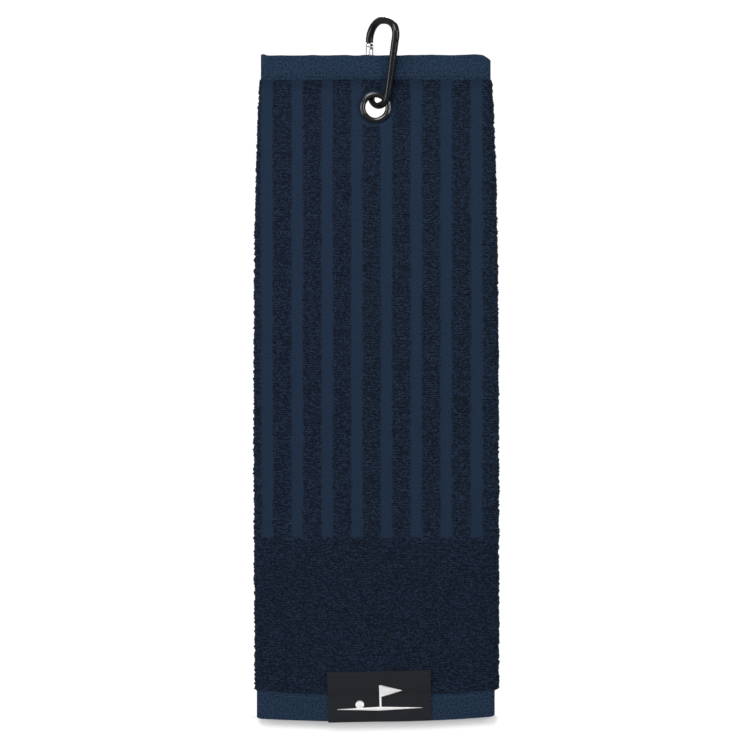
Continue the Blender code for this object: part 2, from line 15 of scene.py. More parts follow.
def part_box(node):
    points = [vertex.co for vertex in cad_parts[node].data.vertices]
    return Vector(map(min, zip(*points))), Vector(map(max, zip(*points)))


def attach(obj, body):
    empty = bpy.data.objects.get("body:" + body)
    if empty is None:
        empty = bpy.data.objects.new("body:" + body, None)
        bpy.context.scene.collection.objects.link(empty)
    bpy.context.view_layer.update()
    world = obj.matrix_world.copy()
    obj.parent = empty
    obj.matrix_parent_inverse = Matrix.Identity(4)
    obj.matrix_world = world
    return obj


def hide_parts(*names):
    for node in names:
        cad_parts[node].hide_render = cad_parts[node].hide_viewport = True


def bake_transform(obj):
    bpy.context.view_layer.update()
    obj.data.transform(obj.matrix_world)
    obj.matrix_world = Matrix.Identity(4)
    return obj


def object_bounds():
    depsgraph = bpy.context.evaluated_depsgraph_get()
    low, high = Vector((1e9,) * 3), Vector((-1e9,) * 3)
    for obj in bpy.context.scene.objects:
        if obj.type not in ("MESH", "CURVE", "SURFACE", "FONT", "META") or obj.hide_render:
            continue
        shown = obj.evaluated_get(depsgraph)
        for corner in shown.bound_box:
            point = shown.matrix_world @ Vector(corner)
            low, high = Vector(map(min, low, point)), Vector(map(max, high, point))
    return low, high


MM = 0.001
CLEARANCE = 0.3 * MM

# Folded towel.
TOP_HEM_WIDTH = 139.8 * MM
BOTTOM_HEM_WIDTH = 144.8 * MM
TOP_HEM = 14.5 * MM
BOTTOM_HEM = 17.4 * MM
HEM_STEP = 1.0 * MM
FLARE_WIDTH = 7.2 * MM
FLARE_DEPTH = 75.0 * MM
EDGE_ROUND = 0.6 * MM
HEM_ROW = 4 * EDGE_ROUND / 3
LAYER = 1.9 * MM
LAYER_PITCH = LAYER + CLEARANCE
HALF_STACK = 1.5 * LAYER + CLEARANCE
HEM_THINNING = 0.66
FREE_EDGE_INSET = 4.2 * MM
FLAP_SPLIT = 0.5 * LAYER + 0.5 * CLEARANCE
LEAN = 2.8 * MM
LEAN_START = 9.8 * MM
LEAN_END = 22.0 * MM
CORNER_R = 6.5 * MM
CORNER_FADE = 6.0 * MM
TOP_TILT = 0.35 * MM
TOP_DROP = 0.25 * MM
CORNER_BUMP = 0.8 * MM
CORNER_BUMP_WIDTH = 1.6 * MM
LOW_CORNER_R = 2.6 * MM
RIGHT_SPREAD = 1.6 * MM
LEFT_SPREAD = 0.8 * MM
HEM_SPREAD = 0.7 * MM
LEFT_HEM_SPREAD = HEM_SPREAD / 3
SPREAD_POWER = 4
TOP_RIPPLE = 0.3 * MM
SEAM_BOW = 3.9 * MM
SEAM_BOW_FADE = 28.0 * MM
EDGE_SAG = 1.7 * MM
LEFT_CORNER_RISE = 0.2 * MM
RIGHT_CORNER_RISE = 1.5 * MM
EDGE_ROLL = 0.3
EDGE_ROLL_WIDTH = 7.0 * MM

# Terry: loops in rows, and flat woven stripes between the bands of loops.
LOOP_PITCH = 1.45 * MM
ROW_PITCH = 1.36 * MM
SAMPLES = 3
LOOP_HEIGHT = 0.8 * MM
LOOP_SHIFT = 0.24
LOOP_GAP = 0.75
LOOP_ROUNDNESS = 0.7
ROW_ROUNDNESS = 1.2
FLAT_LIFT = 0.1
THINNEST_EDGE = 0.05
EDGE_FRAY = 0.55 * MM
LOOP_UNEVEN = 0.7
VERTEX_UNEVEN = 0.3
PLAIN_DIP = 0.14
ROW_WOBBLE = 0.3 * MM
HIDDEN_MARGIN = 12.0 * MM
STRIPE_PERIOD = 18.15 * MM
STRIPE_WIDTH = 7.0 * MM
STRIPE_SHIFT = 6.7 * MM
STRIPE_END = 294.0 * MM
STRIPE_EDGE = 0.45 * MM
STRIPE_RAGGED = 0.4 * MM
SIDE_HEM = 7.0 * MM
FOLD_LIP = 2.5 * MM
FLAP_LIP = 0.9 * MM
CLOTH_WAVE = 0.22 * MM
SEED = 11

# Cells of smooth noise, down and across the cloth or the label.
STRIPE_CELLS = (90, 60)
WAVE_CELLS = (9, 6)
ROW_CELLS = (150, 45)
FRAY_CELLS_ACROSS = 7
RIPPLE_CELLS = (1, 30)
LABEL_CELLS = (7, 9)
LABEL_EDGE_CELLS = (9, 1)

# Grommet.
HOLE_R = 6.1 * MM
GROMMET_SHEET = 0.5 * MM
FLANGE_R = 9.4 * MM
CREST_R = 8.0 * MM
CREST_HEIGHT = 2.9 * MM
CREST_BEND_R = 0.75 * MM
CREST_START = math.pi / 6
THROAT_START = math.radians(98.0)
ROUND_STEP = math.radians(8.0)
SEAT = 1.7 * MM
BARREL_BACK = 2.0 * MM
ROLL_R = 0.7 * MM
WASHER_SHEET = 0.4 * MM
CLOTH_HOLE_R = 7.5 * MM
HOLE_CENTRE_R = CLOTH_HOLE_R / 50
PINCH_START = 9.2 * MM
PINCH_END = 12.5 * MM
PRESS = 0.3
PRESS_START = 17.0 * MM
PRESS_END = 45.0 * MM
TURN_STEPS = 96
SMOOTH_ANGLE = math.radians(35.0)
WELD = 0.001 * MM

# Snap hook. The rod grows thicker between the two taper heights, towards the top bend.
ROD_R = 2.15 * MM
TOP_ROD_R = 2.3 * MM
TAPER_LOW = -8.0 * MM
TAPER_HIGH = -3.5 * MM
TOP_ARC_R = 12.6 * MM
BOTTOM_ARC_R = 9.0 * MM
ARC_DISTANCE = 30.55 * MM
BEND_OUT = 2.0 * MM
BEND_UP = 0.7 * MM
LOOP_TILT = math.radians(5.5)
LOOP_TURN = math.radians(38.0)
LOOP_X = -2.3 * MM
ARC_STEP = math.radians(3.0)
ROD_SIDES = 40
PIVOT_FROM_NOSE = 25.5 * MM
NOSE_LENGTH = 0.5 * MM
NOSE_ROUND = 0.35 * MM
NOSE_ROUND_TURNS = (0.4, 0.8, 1.2)
NOSE_SLANT = 0.6 * MM
SHOULDER = 3.3 * MM
LUG_THICKNESS = 1.6 * MM
LUG_HALF_WIDTH = 1.7 * MM
LUG_TOP = 2.2 * MM
GATE_R = 2.3 * MM
GATE_END = 2.4 * MM
GATE_TOP_GAP = 0.4 * MM
GATE_CHAMFER = 0.6 * MM
BAR_STEP = 0.6 * MM
BAR_SIDES = 64
SMALL_CHAMFER = 0.05 * MM
JOIN_OVERLAP = 1.0 * MM
FORK_SLOT = 2.2 * MM
FORK_DEPTH = 2.9 * MM
KEY_SLOT = 2.0 * MM
KEY_SLOT_DEPTH = 3.9 * MM
KEY_THICKNESS = 1.4 * MM
KEY_LENGTH = 3.2 * MM
KEY_FACE_X = 0.2 * MM
KEY_LIP_X = 1.3 * MM
KEY_LIP = 0.55 * MM
BORE_R = 1.3 * MM
BORE_TOP = 12.0 * MM
RIVET_HEAD_R = 1.2 * MM
RIVET_HEAD = 0.35 * MM
RIVET_GAP = 0.1 * MM
RIVET_SHANK_R = 0.75 * MM

# Woven label and its raised design.
LABEL_X = 2.7 * MM
LABEL_WIDTH = 63.0 * MM
LABEL_TOP = 376.2 * MM
LABEL_TILT = math.radians(1.3)
LABEL_DROP = 0.6 * MM
LABEL_SHEET = 0.4 * MM
LABEL_BACK_LEG = 9.0 * MM
LABEL_SINK_LOW = 3.0 * MM
LABEL_SINK_HIGH = 2.5 * MM
LABEL_RIPPLE = 0.06 * MM
LABEL_RAGGED = 0.12 * MM
LABEL_TURN_SQUASH = 0.75
LABEL_SMOOTH_ANGLE = math.radians(50.0)
LABEL_STEP = 0.7 * MM
LABEL_SEAM = 1.6 * MM
SEAM_INSET = 1.5 * MM
HEM_SEAM = 2.0 * MM
EMBLEM_DEPTH = 399.0 * MM
EMBLEM_LINE = 52.0 * MM
EMBLEM_LINE_HALF = 1.1 * MM
FLAGSTICK = 14.6 * MM
FLAGSTICK_WIDTH = 1.3 * MM
PENNANT_LENGTH = 13.0 * MM
PENNANT_HEIGHT = 7.6 * MM
BALL_R = 2.6 * MM
BALL_X = -12.0 * MM
SATIN_PITCH = 0.3 * MM
SATIN_R = 0.19 * MM
SATIN_LIFT = 0.25 * MM
SATIN_SLANT = math.tan(math.radians(18.0))
STITCH = 2.4 * MM
STITCH_GAP = 0.5 * MM
STITCH_R = 0.2 * MM
STITCH_LIFT = 0.1 * MM
THREAD_CLEAR = 0.02 * MM
THREAD_RINGS = 6
THREAD_SIDES = 6
THREAD_END = 0.35
THREAD_ARCH_POWER = 0.7
THREAD_TAPER_POWER = 0.35
THREAD_TIP = 0.02

# Cloth and thread finishes.
FLAT_COLOR = (0.0101, 0.0215, 0.0440)
HEM_COLOR = (0.0124, 0.0261, 0.0515)
# Painted shade of the pile: the loops' colour runs from a dark valley colour to a lighter crest colour
# with their height.
VALLEY_SHADE_COLOR = (0.0012, 0.0026, 0.0056)
CREST_LIGHT_COLOR = (0.0198, 0.0375, 0.0760)
LABEL_COLOR = (0.0095, 0.0105, 0.0135)
SATIN_COLOR = (0.86, 0.86, 0.85)
NAVY_THREAD_COLOR = (0.014, 0.029, 0.058)
BLACK_THREAD_COLOR = (0.016, 0.017, 0.021)
SHEEN_COLOR = (0.5, 0.6, 0.8)
SHEEN_ROUGHNESS = 0.4
TERRY_ROUGHNESS = 0.95
TERRY_SPECULAR = 0.1
TERRY_SHEEN = 0.14
TERRY_BUMP = 0.3 * MM
FIBRE_SCALE = 2600.0
FIBRE_SPECKLE = 0.7
FLAT_FIBRE_RELIEF = 0.4
MOTTLE_SCALE = 850.0
HEM_MOTTLE = 3.4
STRIPE_MOTTLE_SHARE = 0.3
WARP_PITCH = 0.9 * MM
WEFT_PITCH = 0.8 * MM
WEAVE_RELIEF = 0.3
CREASE_RELIEF = 1.5
YARN_SPECULAR = 0.2
YARN_SHEEN = 0.04
YARN_DARKER = 0.7
YARN_LIGHTER = 1.5
WEFT_SHARE = 0.8

# Metal finishes: how far roughness and wear vary, over broad and fine noise.
WEAR_SCALE = 350.0
WEAR_SPAN = (0.66, 0.8)
ROUGHNESS_SPAN = (0.7, 1.3)
BRUSHING_SCALE = 4000.0
BRUSHING_DEPTH = 0.004 * MM
BRUSHING_STRENGTH = 0.15

# The colour sockets of a mix node.
MIX_COLOR_INPUTS = (0, 6, 7)
MIX_COLOR_OUTPUT = 2

# Studio. A light has its place from the object's middle, its size in metres and its power in watts.
LIGHTS = {
    "key": ((-0.5, -1.3, 1.3), (1.1, 1.1), 30.0),
    "left": ((-1.5, -0.7, 0.1), (0.35, 1.3), 14.0),
    "right": ((1.3, -1.1, 0.3), (0.45, 1.3), 14.0),
    "back": ((0.2, 1.3, 1.3), (1.0, 1.0), 55.0),
}
WHITE = (1.0, 1.0, 1.0, 1.0)
BACKDROP_LIGHT = 1.05
WORLD_LIGHT = 0.3
VIEW_WIDTH = 458.3 * MM
VIEW_X = -6.66 * MM
VIEW_Z = -214.7 * MM
CAMERA_DISTANCE = 3.0
CLIP_END = 20.0
SENSOR = 36.0
CARD_WIDTH = 0.6
CARD_HEIGHT = 0.1
CARD_OVERLAP = 0.4 * MM
CARD_GAP = 1.0 * MM
CARD_GLOW = 0.15
CARD_COLOR = (0.9, 0.9, 0.9)
CARD_ROUGHNESS = 0.9
CARD_POINTS = 41

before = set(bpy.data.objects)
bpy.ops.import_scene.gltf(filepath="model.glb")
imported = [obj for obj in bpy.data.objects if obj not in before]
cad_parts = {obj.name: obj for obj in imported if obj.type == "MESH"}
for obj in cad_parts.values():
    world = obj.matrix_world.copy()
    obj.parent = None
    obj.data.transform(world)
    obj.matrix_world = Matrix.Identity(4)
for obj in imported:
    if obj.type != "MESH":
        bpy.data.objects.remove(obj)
CAD_LOW, CAD_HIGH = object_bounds()
CLOTH_LOW, CLOTH_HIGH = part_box("towel_cloth")
EYELET_LOW, EYELET_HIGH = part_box("grommet_eyelet")
TOWEL_X = (CLOTH_LOW.x + CLOTH_HIGH.x) / 2
TOWEL_TOP_Z = CLOTH_HIGH.z
TOWEL_LENGTH = CLOTH_HIGH.z - CLOTH_LOW.z
TOWEL_WIDTH = CLOTH_HIGH.x - CLOTH_LOW.x
GROMMET_Z = (EYELET_LOW.z + EYELET_HIGH.z) / 2
GROMMET_DEPTH = TOWEL_TOP_Z - GROMMET_Z


# ---- meshes


def add_object(name, data):
    made = bpy.data.objects.new(name, data)
    bpy.context.scene.collection.objects.link(made)
    return made


def mesh_from_arrays(name, points, quads, uvs=None, attributes=None):
    """An object from arrays: points, quads by point number, and optional values at each point."""
    data = bpy.data.meshes.new(name)
    data.vertices.add(len(points))
    data.vertices.foreach_set("co", np.asarray(points, np.float32).ravel())
    data.loops.add(4 * len(quads))
    data.polygons.add(len(quads))
    corners = np.asarray(quads, np.int32).ravel()
    data.loops.foreach_set("vertex_index", corners)
    data.polygons.foreach_set("loop_start", np.arange(0, 4 * len(quads), 4, dtype=np.int32))
    if uvs is not None:
        layer = data.uv_layers.new(name="cloth")
        layer.uv.foreach_set("vector", np.asarray(uvs, np.float32)[corners].ravel())
    for key, values in (attributes or {}).items():
        data.attributes.new(key, "FLOAT", "POINT").data.foreach_set("value", values.astype(np.float32))
    data.update(calc_edges=True)
    data.validate()
    data.shade_smooth()
    return add_object(name, data)


def closed_grid(front, back, keep):
    """Points and quads of a sheet from its two sides, each (rows, columns, 3), where a cell is kept."""
    rows, columns = front.shape[:2]
    number = np.arange(rows * columns).reshape(rows, columns)
    corners = np.stack((number[:-1, :-1], number[1:, :-1], number[1:, 1:], number[:-1, 1:]), axis=-1)
    count = rows * columns
    quads = [corners[keep], corners[keep][:, ::-1] + count]
    padded = np.pad(keep, 1)
    beside = (padded[1:-1, :-2], padded[2:, 1:-1], padded[1:-1, 2:], padded[:-2, 1:-1])
    for side, neighbour in enumerate(beside):
        edge = keep & ~neighbour
        a = corners[..., side][edge]
        b = corners[..., (side + 1) % 4][edge]
        quads.append(np.stack((b, a, a + count, b + count), axis=-1))
    quads = np.concatenate(quads)
    points = np.concatenate((front.reshape(-1, 3), back.reshape(-1, 3)))
    used = np.unique(quads)
    renumber = np.zeros(len(points), np.int64)
    renumber[used] = np.arange(len(used))
    return points[used], renumber[quads], used


def smoothstep(value, start, end):
    """0 up to the start, 1 from the end, and smooth between them."""
    t = np.clip((value - start) / (end - start), 0.0, 1.0)
    return t * t * (3 - 2 * t)


def soft_noise(rng, shape, cells):
    """Random values from -1 to 1 that change smoothly, with this many cells down and across."""
    coarse = rng.uniform(-1.0, 1.0, (cells[0] + 1, cells[1] + 1))
    down = np.linspace(0, cells[0], shape[0])
    across = np.linspace(0, cells[1], shape[1])
    i = np.minimum(down.astype(int), cells[0] - 1)
    j = np.minimum(across.astype(int), cells[1] - 1)
    u = smoothstep(down - i, 0.0, 1.0)[:, None]
    v = smoothstep(across - j, 0.0, 1.0)[None, :]
    low = coarse[i][:, j] * (1 - v) + coarse[i][:, j + 1] * v
    high = coarse[i + 1][:, j] * (1 - v) + coarse[i + 1][:, j + 1] * v
    return low * (1 - u) + high * u


def arc(centre, radius, start, end, step):
    """Points of an arc in a plane, both ends included."""
    count = max(2, round(abs(end - start) / step))
    turns = [start + (end - start) * i / count for i in range(count + 1)]
    return [(centre[0] + radius * math.cos(t), centre[1] + radius * math.sin(t)) for t in turns]


# ---- cloth


FRONT_Y = -LAYER_PITCH
LEFT_FOLD_X = -TOWEL_WIDTH / 2 + (LAYER_PITCH + LAYER) / 2
LEFT_FOLD_R = LAYER_PITCH / 2
RIGHT_FOLD_X = TOWEL_WIDTH / 2 - HALF_STACK
RIGHT_FOLD_R = LAYER_PITCH
INNER_EDGE_X = TOWEL_WIDTH / 2 - FREE_EDGE_INSET
BACK_EDGE_X = -TOWEL_WIDTH / 2 + FREE_EDGE_INSET
LEFT_FOLD_AT = INNER_EDGE_X - LEFT_FOLD_X
FRONT_AT = LEFT_FOLD_AT + math.pi * LEFT_FOLD_R
RIGHT_FOLD_AT = FRONT_AT + RIGHT_FOLD_X - LEFT_FOLD_X
BACK_AT = RIGHT_FOLD_AT + math.pi * RIGHT_FOLD_R
FLAT_WIDTH = BACK_AT + RIGHT_FOLD_X - BACK_EDGE_X
SPLIT_TURN = math.asin(FLAP_SPLIT / HALF_STACK)
SPLIT_AT = RIGHT_FOLD_AT + (math.pi / 2 + SPLIT_TURN) * RIGHT_FOLD_R


def fold_line(along):
    """The cloth's centre line seen from above, and its outward side, at distances along the cloth."""
    left = math.pi / 2 + (along - LEFT_FOLD_AT) / LEFT_FOLD_R
    right = -math.pi / 2 + (along - RIGHT_FOLD_AT) / RIGHT_FOLD_R
    zero = np.zeros_like(along)
    pick = [along < LEFT_FOLD_AT, along < FRONT_AT, along < RIGHT_FOLD_AT, along < BACK_AT]
    x = np.select(pick, [
        INNER_EDGE_X - along,
        LEFT_FOLD_X + LEFT_FOLD_R * np.cos(left),
        LEFT_FOLD_X + along - FRONT_AT,
        RIGHT_FOLD_X + RIGHT_FOLD_R * np.cos(right),
    ], RIGHT_FOLD_X + BACK_AT - along)
    y = np.select(pick, [
        zero, -LEFT_FOLD_R + LEFT_FOLD_R * np.sin(left), zero + FRONT_Y, RIGHT_FOLD_R * np.sin(right),
    ], LAYER_PITCH)
    side_x = np.select(pick, [zero, np.cos(left), zero, np.cos(right)], 0.0)
    side_y = np.select(pick, [zero + 1, np.sin(left), zero - 1, np.sin(right)], 1.0)
    return x, y, side_x, side_y


def hem_steps(depth):
    """Two steps from 0 to 1: below the top hem, and into the bottom hem."""
    top = smoothstep(depth, TOP_HEM, TOP_HEM + HEM_STEP)
    return top, smoothstep(depth, TOWEL_LENGTH - BOTTOM_HEM - HEM_STEP, TOWEL_LENGTH - BOTTOM_HEM)


def half_width(depth):
    """Half the folded towel's width at a depth: narrow flat hems, terry that spreads below the top hem."""
    terry = TOWEL_WIDTH / 2 - FLARE_WIDTH / 2 * np.exp(-(depth - TOP_HEM) / FLARE_DEPTH)
    top, bottom = hem_steps(depth)
    upper = TOP_HEM_WIDTH / 2 * (1 - top) + terry * top
    return np.where(depth < TOWEL_LENGTH / 2, upper, terry * (1 - bottom) + BOTTOM_HEM_WIDTH / 2 * bottom)


def terry_share(depth):
    """0 in the flat hems and 1 in the terry between them."""
    top, bottom = hem_steps(depth)
    return top - bottom


def cloth_rows():
    """Depths of the rows: close together at the rounded edges, and SAMPLES to each row of loops."""
    edge = [EDGE_ROUND * (1 - math.cos(math.pi / 2 * i / 4)) for i in range(5)]
    top_hem = list(np.arange(EDGE_ROUND, TOP_HEM, HEM_ROW))[1:]
    first, last = TOP_HEM, TOWEL_LENGTH - BOTTOM_HEM
    rows = round((last - first) / ROW_PITCH) * SAMPLES
    terry = list(np.linspace(first, last, rows + 1))
    bottom_hem = list(np.arange(last, TOWEL_LENGTH - EDGE_ROUND, HEM_ROW))[1:]
    return np.array(edge + top_hem + terry + bottom_hem + [TOWEL_LENGTH - e for e in edge[::-1]])


def cloth_columns(start, end):
    """Distances along the cloth: SAMPLES to each loop, and one to each loop where the cloth is inside."""
    hidden = max(start, min(end, LEFT_FOLD_AT - HIDDEN_MARGIN))
    coarse = np.linspace(start, hidden, round((hidden - start) / LOOP_PITCH) + 1)
    fine = np.linspace(hidden, end, round((end - hidden) / LOOP_PITCH) * SAMPLES + 1)
    return np.concatenate((coarse[:-1], fine))


def stripe_share(fabric_x, depth, ragged):
    """1 in the flat woven stripes and 0 in the bands of loops."""
    nearest = np.abs((fabric_x - STRIPE_SHIFT + STRIPE_PERIOD / 2) % STRIPE_PERIOD - STRIPE_PERIOD / 2)
    edge = STRIPE_WIDTH / 2 + ragged
    inside = 1 - smoothstep(nearest, edge - STRIPE_EDGE, edge + STRIPE_EDGE)
    return inside * (1 - smoothstep(depth, STRIPE_END, STRIPE_END + ROW_PITCH))


def loop_heights(rng, along, depth):
    """Heights of the loops from 0 to 1. Each loop has its own height, and sits a little off its place."""
    rows = math.ceil(TOWEL_LENGTH / ROW_PITCH) + 2
    columns = math.ceil(FLAT_WIDTH / LOOP_PITCH) + 3
    row_shift = rng.uniform(0.0, 1.0, rows)
    down = (depth - TOP_HEM) / ROW_PITCH + math.ceil(TOP_HEM / ROW_PITCH)
    row = np.clip(down.astype(int), 0, rows - 1)
    across = along / LOOP_PITCH + row_shift[row]
    column = np.clip(across.astype(int), 0, columns - 1)
    shift_down, shift_across, tall = (rng.uniform(-1.0, 1.0, (rows, columns)) for _ in range(3))
    v = down - row + LOOP_SHIFT * shift_down[row, column]
    u = across - column + LOOP_SHIFT * shift_across[row, column]
    dome = 1 - LOOP_GAP * (1 - np.clip(np.sin(math.pi * u), 0, 1) ** LOOP_ROUNDNESS)
    dome *= np.clip(np.sin(math.pi * v), 0, 1) ** ROW_ROUNDNESS
    height = dome * (1 - LOOP_UNEVEN * (0.5 + 0.5 * tall[row, column]))
    # Lower loops below the stripes, which the terry material also paints darker through its painted valley
    # shade.
    height *= 1 - PLAIN_DIP * smoothstep(depth, STRIPE_END, STRIPE_END + 4 * ROW_PITCH)
    return np.clip(height + VERTEX_UNEVEN * rng.uniform(-0.5, 0.5, depth.shape), 0, 1)


def pile_share(along, across, depth, rng):
    """1 in the bands of loops, and 0 in the stripes and hems."""
    in_front = (along >= FRONT_AT) & (along <= RIGHT_FOLD_AT)
    fabric_x = np.where(in_front[None, :], across, along[None, :] - (FRONT_AT - LEFT_FOLD_X))
    ragged = STRIPE_RAGGED * rng.uniform(-1, 1, (depth.shape[0], 1)) * np.ones(depth.shape)
    ragged += STRIPE_RAGGED * soft_noise(rng, depth.shape, STRIPE_CELLS)
    selvedge = smoothstep(along, FLAT_WIDTH - SIDE_HEM, FLAT_WIDTH - SIDE_HEM + HEM_STEP)
    selvedge += 1 - smoothstep(along, SIDE_HEM - HEM_STEP, SIDE_HEM)
    return terry_share(depth) * (1 - stripe_share(fabric_x, depth, ragged)) * (1 - selvedge[None, :])


def edge_rounding(along, depth):
    """The share of the cloth's thickness left at its rounded edges: 1 away from them."""
    from_edge = np.minimum(np.minimum(depth, TOWEL_LENGTH - depth), EDGE_ROUND)
    from_free_edge = np.clip(np.minimum(along, FLAT_WIDTH - along), 0, EDGE_ROUND)
    from_edge = np.minimum(from_edge, from_free_edge[None, :])
    return np.sqrt(np.clip(1 - (1 - from_edge / EDGE_ROUND) ** 2, THINNEST_EDGE, 1))


def stack_share(across, depth, from_hole):
    """The share of the stack's thickness: less in the hems, at the grommet, by the hook, at the sides."""
    terry = terry_share(depth)
    pinch = SEAT / HALF_STACK + (1 - SEAT / HALF_STACK) * smoothstep(from_hole, PINCH_START, PINCH_END)
    pinch *= 1 - PRESS * (1 - smoothstep(from_hole, PRESS_START, PRESS_END)) * terry
    to_side = np.abs(across) - half_width(depth) + EDGE_ROLL_WIDTH
    roll = 1 - EDGE_ROLL * np.clip(to_side / EDGE_ROLL_WIDTH, 0, 1) ** 2 * terry
    return (HEM_THINNING + (1 - HEM_THINNING) * terry) * pinch * roll


def cloth_panel(name, start, end, rng):
    """One panel of the folded cloth between two distances along it, with terry loops on both sides."""
    depths = cloth_rows()
    along = cloth_columns(start, end)
    shape = (len(depths), len(along))
    depth = np.repeat(depths[:, None], len(along), axis=1)
    x, y, side_x, side_y = (np.repeat(v[None, :], len(depths), axis=0) for v in fold_line(along))
    widen = half_width(depth) / (TOWEL_WIDTH / 2)
    across = x * widen
    terry = terry_share(depth)
    from_hole = np.hypot(across, depth - GROMMET_DEPTH)
    pile = pile_share(along, across, depth, rng) * smoothstep(from_hole, PINCH_START, PINCH_END)
    wave = CLOTH_WAVE * soft_noise(rng, shape, WAVE_CELLS)
    wave *= smoothstep(from_hole, PINCH_END, 3 * PINCH_END)
    wobble = ROW_WOBBLE * soft_noise(rng, shape, ROW_CELLS) * terry
    fray_cells = (round(TOWEL_LENGTH / ROW_PITCH), FRAY_CELLS_ACROSS)
    fray = 1 + EDGE_FRAY / RIGHT_SPREAD * soft_noise(rng, shape, fray_cells)
    ripple = TOP_RIPPLE * soft_noise(rng, (1, shape[1]), RIPPLE_CELLS) * np.exp(-depth / CORNER_FADE)
    rounding = edge_rounding(along, depth)
    thick = stack_share(across, depth, from_hole)
    lean = -LEAN * smoothstep(GROMMET_DEPTH - depth, LEAN_START, LEAN_END)
    push = CLOTH_HOLE_R / np.maximum(from_hole, HOLE_CENTRE_R)
    hole = from_hole < CLOTH_HOLE_R
    sides, heights = [], []
    for sign in (1, -1):
        height = loop_heights(rng, along[None, :] + 0 * depth, depth)
        lift = pile * height + (1 - pile) * FLAT_LIFT
        offset = sign * (LAYER / 2 - LOOP_HEIGHT * (1 - lift) * terry) * rounding
        px = TOWEL_X + (x + side_x * offset) * widen + spread(across, depth, fray)
        py = (y + side_y * offset) * thick + lean + wave * terry
        pz = TOWEL_TOP_Z - depth + wobble + ripple + hang(across, depth)
        px = np.where(hole, TOWEL_X + (px - TOWEL_X) * push, px)
        pz = np.where(hole, GROMMET_Z - (depth - GROMMET_DEPTH) * push, pz)
        sides.append(np.stack((px, py, pz), axis=-1))
        heights.append(height)
    keep = ~(hole[:-1, :-1] & hole[1:, :-1] & hole[:-1, 1:] & hole[1:, 1:])
    points, quads, used = closed_grid(sides[0], sides[1], keep)
    flat = np.stack((np.broadcast_to(along[None, :], shape), depth), axis=-1).reshape(-1, 2)
    # The loop height is also the mask of the painted shade between the loops in the terry material.
    values = {"pile": (pile, pile), "height": heights, "hem": (1 - terry, 1 - terry)}
    values = {key: np.concatenate([v.ravel() for v in both])[used] for key, both in values.items()}
    return mesh_from_arrays(name, points, quads, np.concatenate((flat, flat))[used], values)


def spread(x, depth, fray):
    """How much farther out the cloth lies towards its two sides: the pile swells over its folds."""
    share = np.clip(x / (TOWEL_WIDTH / 2), -1, 1)
    terry = terry_share(depth)
    right = RIGHT_SPREAD * smoothstep(depth, -TOWEL_LENGTH / 3, TOWEL_LENGTH / 3)
    swell = RIGHT_SPREAD * (fray - 1)
    left = -LEFT_SPREAD * (1 - smoothstep(depth, TOWEL_LENGTH / 2, TOWEL_LENGTH - BOTTOM_HEM))
    right = (right + swell) * terry + HEM_SPREAD * (1 - terry)
    left = (left - swell) * terry - LEFT_HEM_SPREAD * (1 - terry)
    return np.where(share > 0, right, left) * share**SPREAD_POWER


def hang(x, depth):
    """How far the cloth lies above its even place: its top edge leans, and its bottom hem bows."""
    reach = np.clip((x - (TOP_HEM_WIDTH / 2 - CORNER_R)) / CORNER_R, 0, 1)
    corner = CORNER_R * (1 - np.sqrt(1 - reach**2)) * np.exp(-depth / CORNER_FADE)
    bump = CORNER_BUMP * np.exp(-(((x + TOP_HEM_WIDTH / 2) / CORNER_BUMP_WIDTH - 1) ** 2))
    tilt = (TOP_TILT * x / (TOP_HEM_WIDTH / 2) - TOP_DROP) * np.exp(-depth / TOP_HEM)
    tilt = tilt + bump * np.exp(-depth / (2 * CORNER_BUMP_WIDTH))
    share = np.clip(x / (BOTTOM_HEM_WIDTH / 2), -1, 1)
    above = TOWEL_LENGTH - BOTTOM_HEM - depth
    seam = -SEAM_BOW * (1 - share**2) * np.exp(-np.maximum(above, 0) / SEAM_BOW_FADE)
    rise = np.where(share > 0, RIGHT_CORNER_RISE, LEFT_CORNER_RISE)
    edge = -EDGE_SAG * (1 - share**2) + rise * share**2
    low_reach = np.clip((np.abs(x) - (BOTTOM_HEM_WIDTH / 2 - LOW_CORNER_R)) / LOW_CORNER_R, 0, 1)
    edge = edge + LOW_CORNER_R * (1 - np.sqrt(1 - low_reach**2))
    below = np.clip(-above / BOTTOM_HEM, 0, 1)
    return tilt - corner + seam * (1 - below) + edge * below


# ---- threads


OUTWARD = np.array((0.0, -1.0, 0.0))


def thread_mesh(name, starts, ends, outward, radius, lift):
    """Short threads between pairs of points: tapered tubes that arch outward between their ends."""
    starts, ends = np.asarray(starts, float), np.asarray(ends, float)
    outward = np.asarray(outward, float)
    along = ends - starts
    length = np.linalg.norm(along, axis=1, keepdims=True)
    along = along / length
    across = np.cross(along, outward)
    share = np.linspace(0, 1, THREAD_RINGS)
    arch = np.sin(math.pi * share) ** THREAD_ARCH_POWER
    swell = np.sin(math.pi * np.clip(share, THREAD_TIP, 1 - THREAD_TIP)) ** THREAD_TAPER_POWER
    taper = THREAD_END + (1 - THREAD_END) * swell
    centre = starts[:, None] + (ends - starts)[:, None] * share[None, :, None]
    centre = centre + outward * (lift * arch)[None, :, None]
    turn = (2 * math.pi * np.arange(THREAD_SIDES) / THREAD_SIDES)[None, None, :, None]
    ring = across[:, None, None] * np.cos(turn) + outward * np.sin(turn)
    points = centre[:, :, None] + ring * (radius * taper)[None, :, None, None]
    number = np.arange(len(starts) * THREAD_RINGS * THREAD_SIDES).reshape(-1, THREAD_RINGS, THREAD_SIDES)
    after = np.roll(number, -1, axis=2)
    tube = np.stack((number[:, :-1], after[:, :-1], after[:, 1:], number[:, 1:]), axis=-1).reshape(-1, 4)
    caps = ((0, (3, 2, 1, 0)), (0, (5, 4, 3, 0)), (-1, (0, 1, 2, 3)), (-1, (0, 3, 4, 5)))
    quads = np.concatenate([tube[:, ::-1], *[number[:, end][:, order] for end, order in caps]])
    return mesh_from_arrays(name, points.reshape(-1, 3), quads)


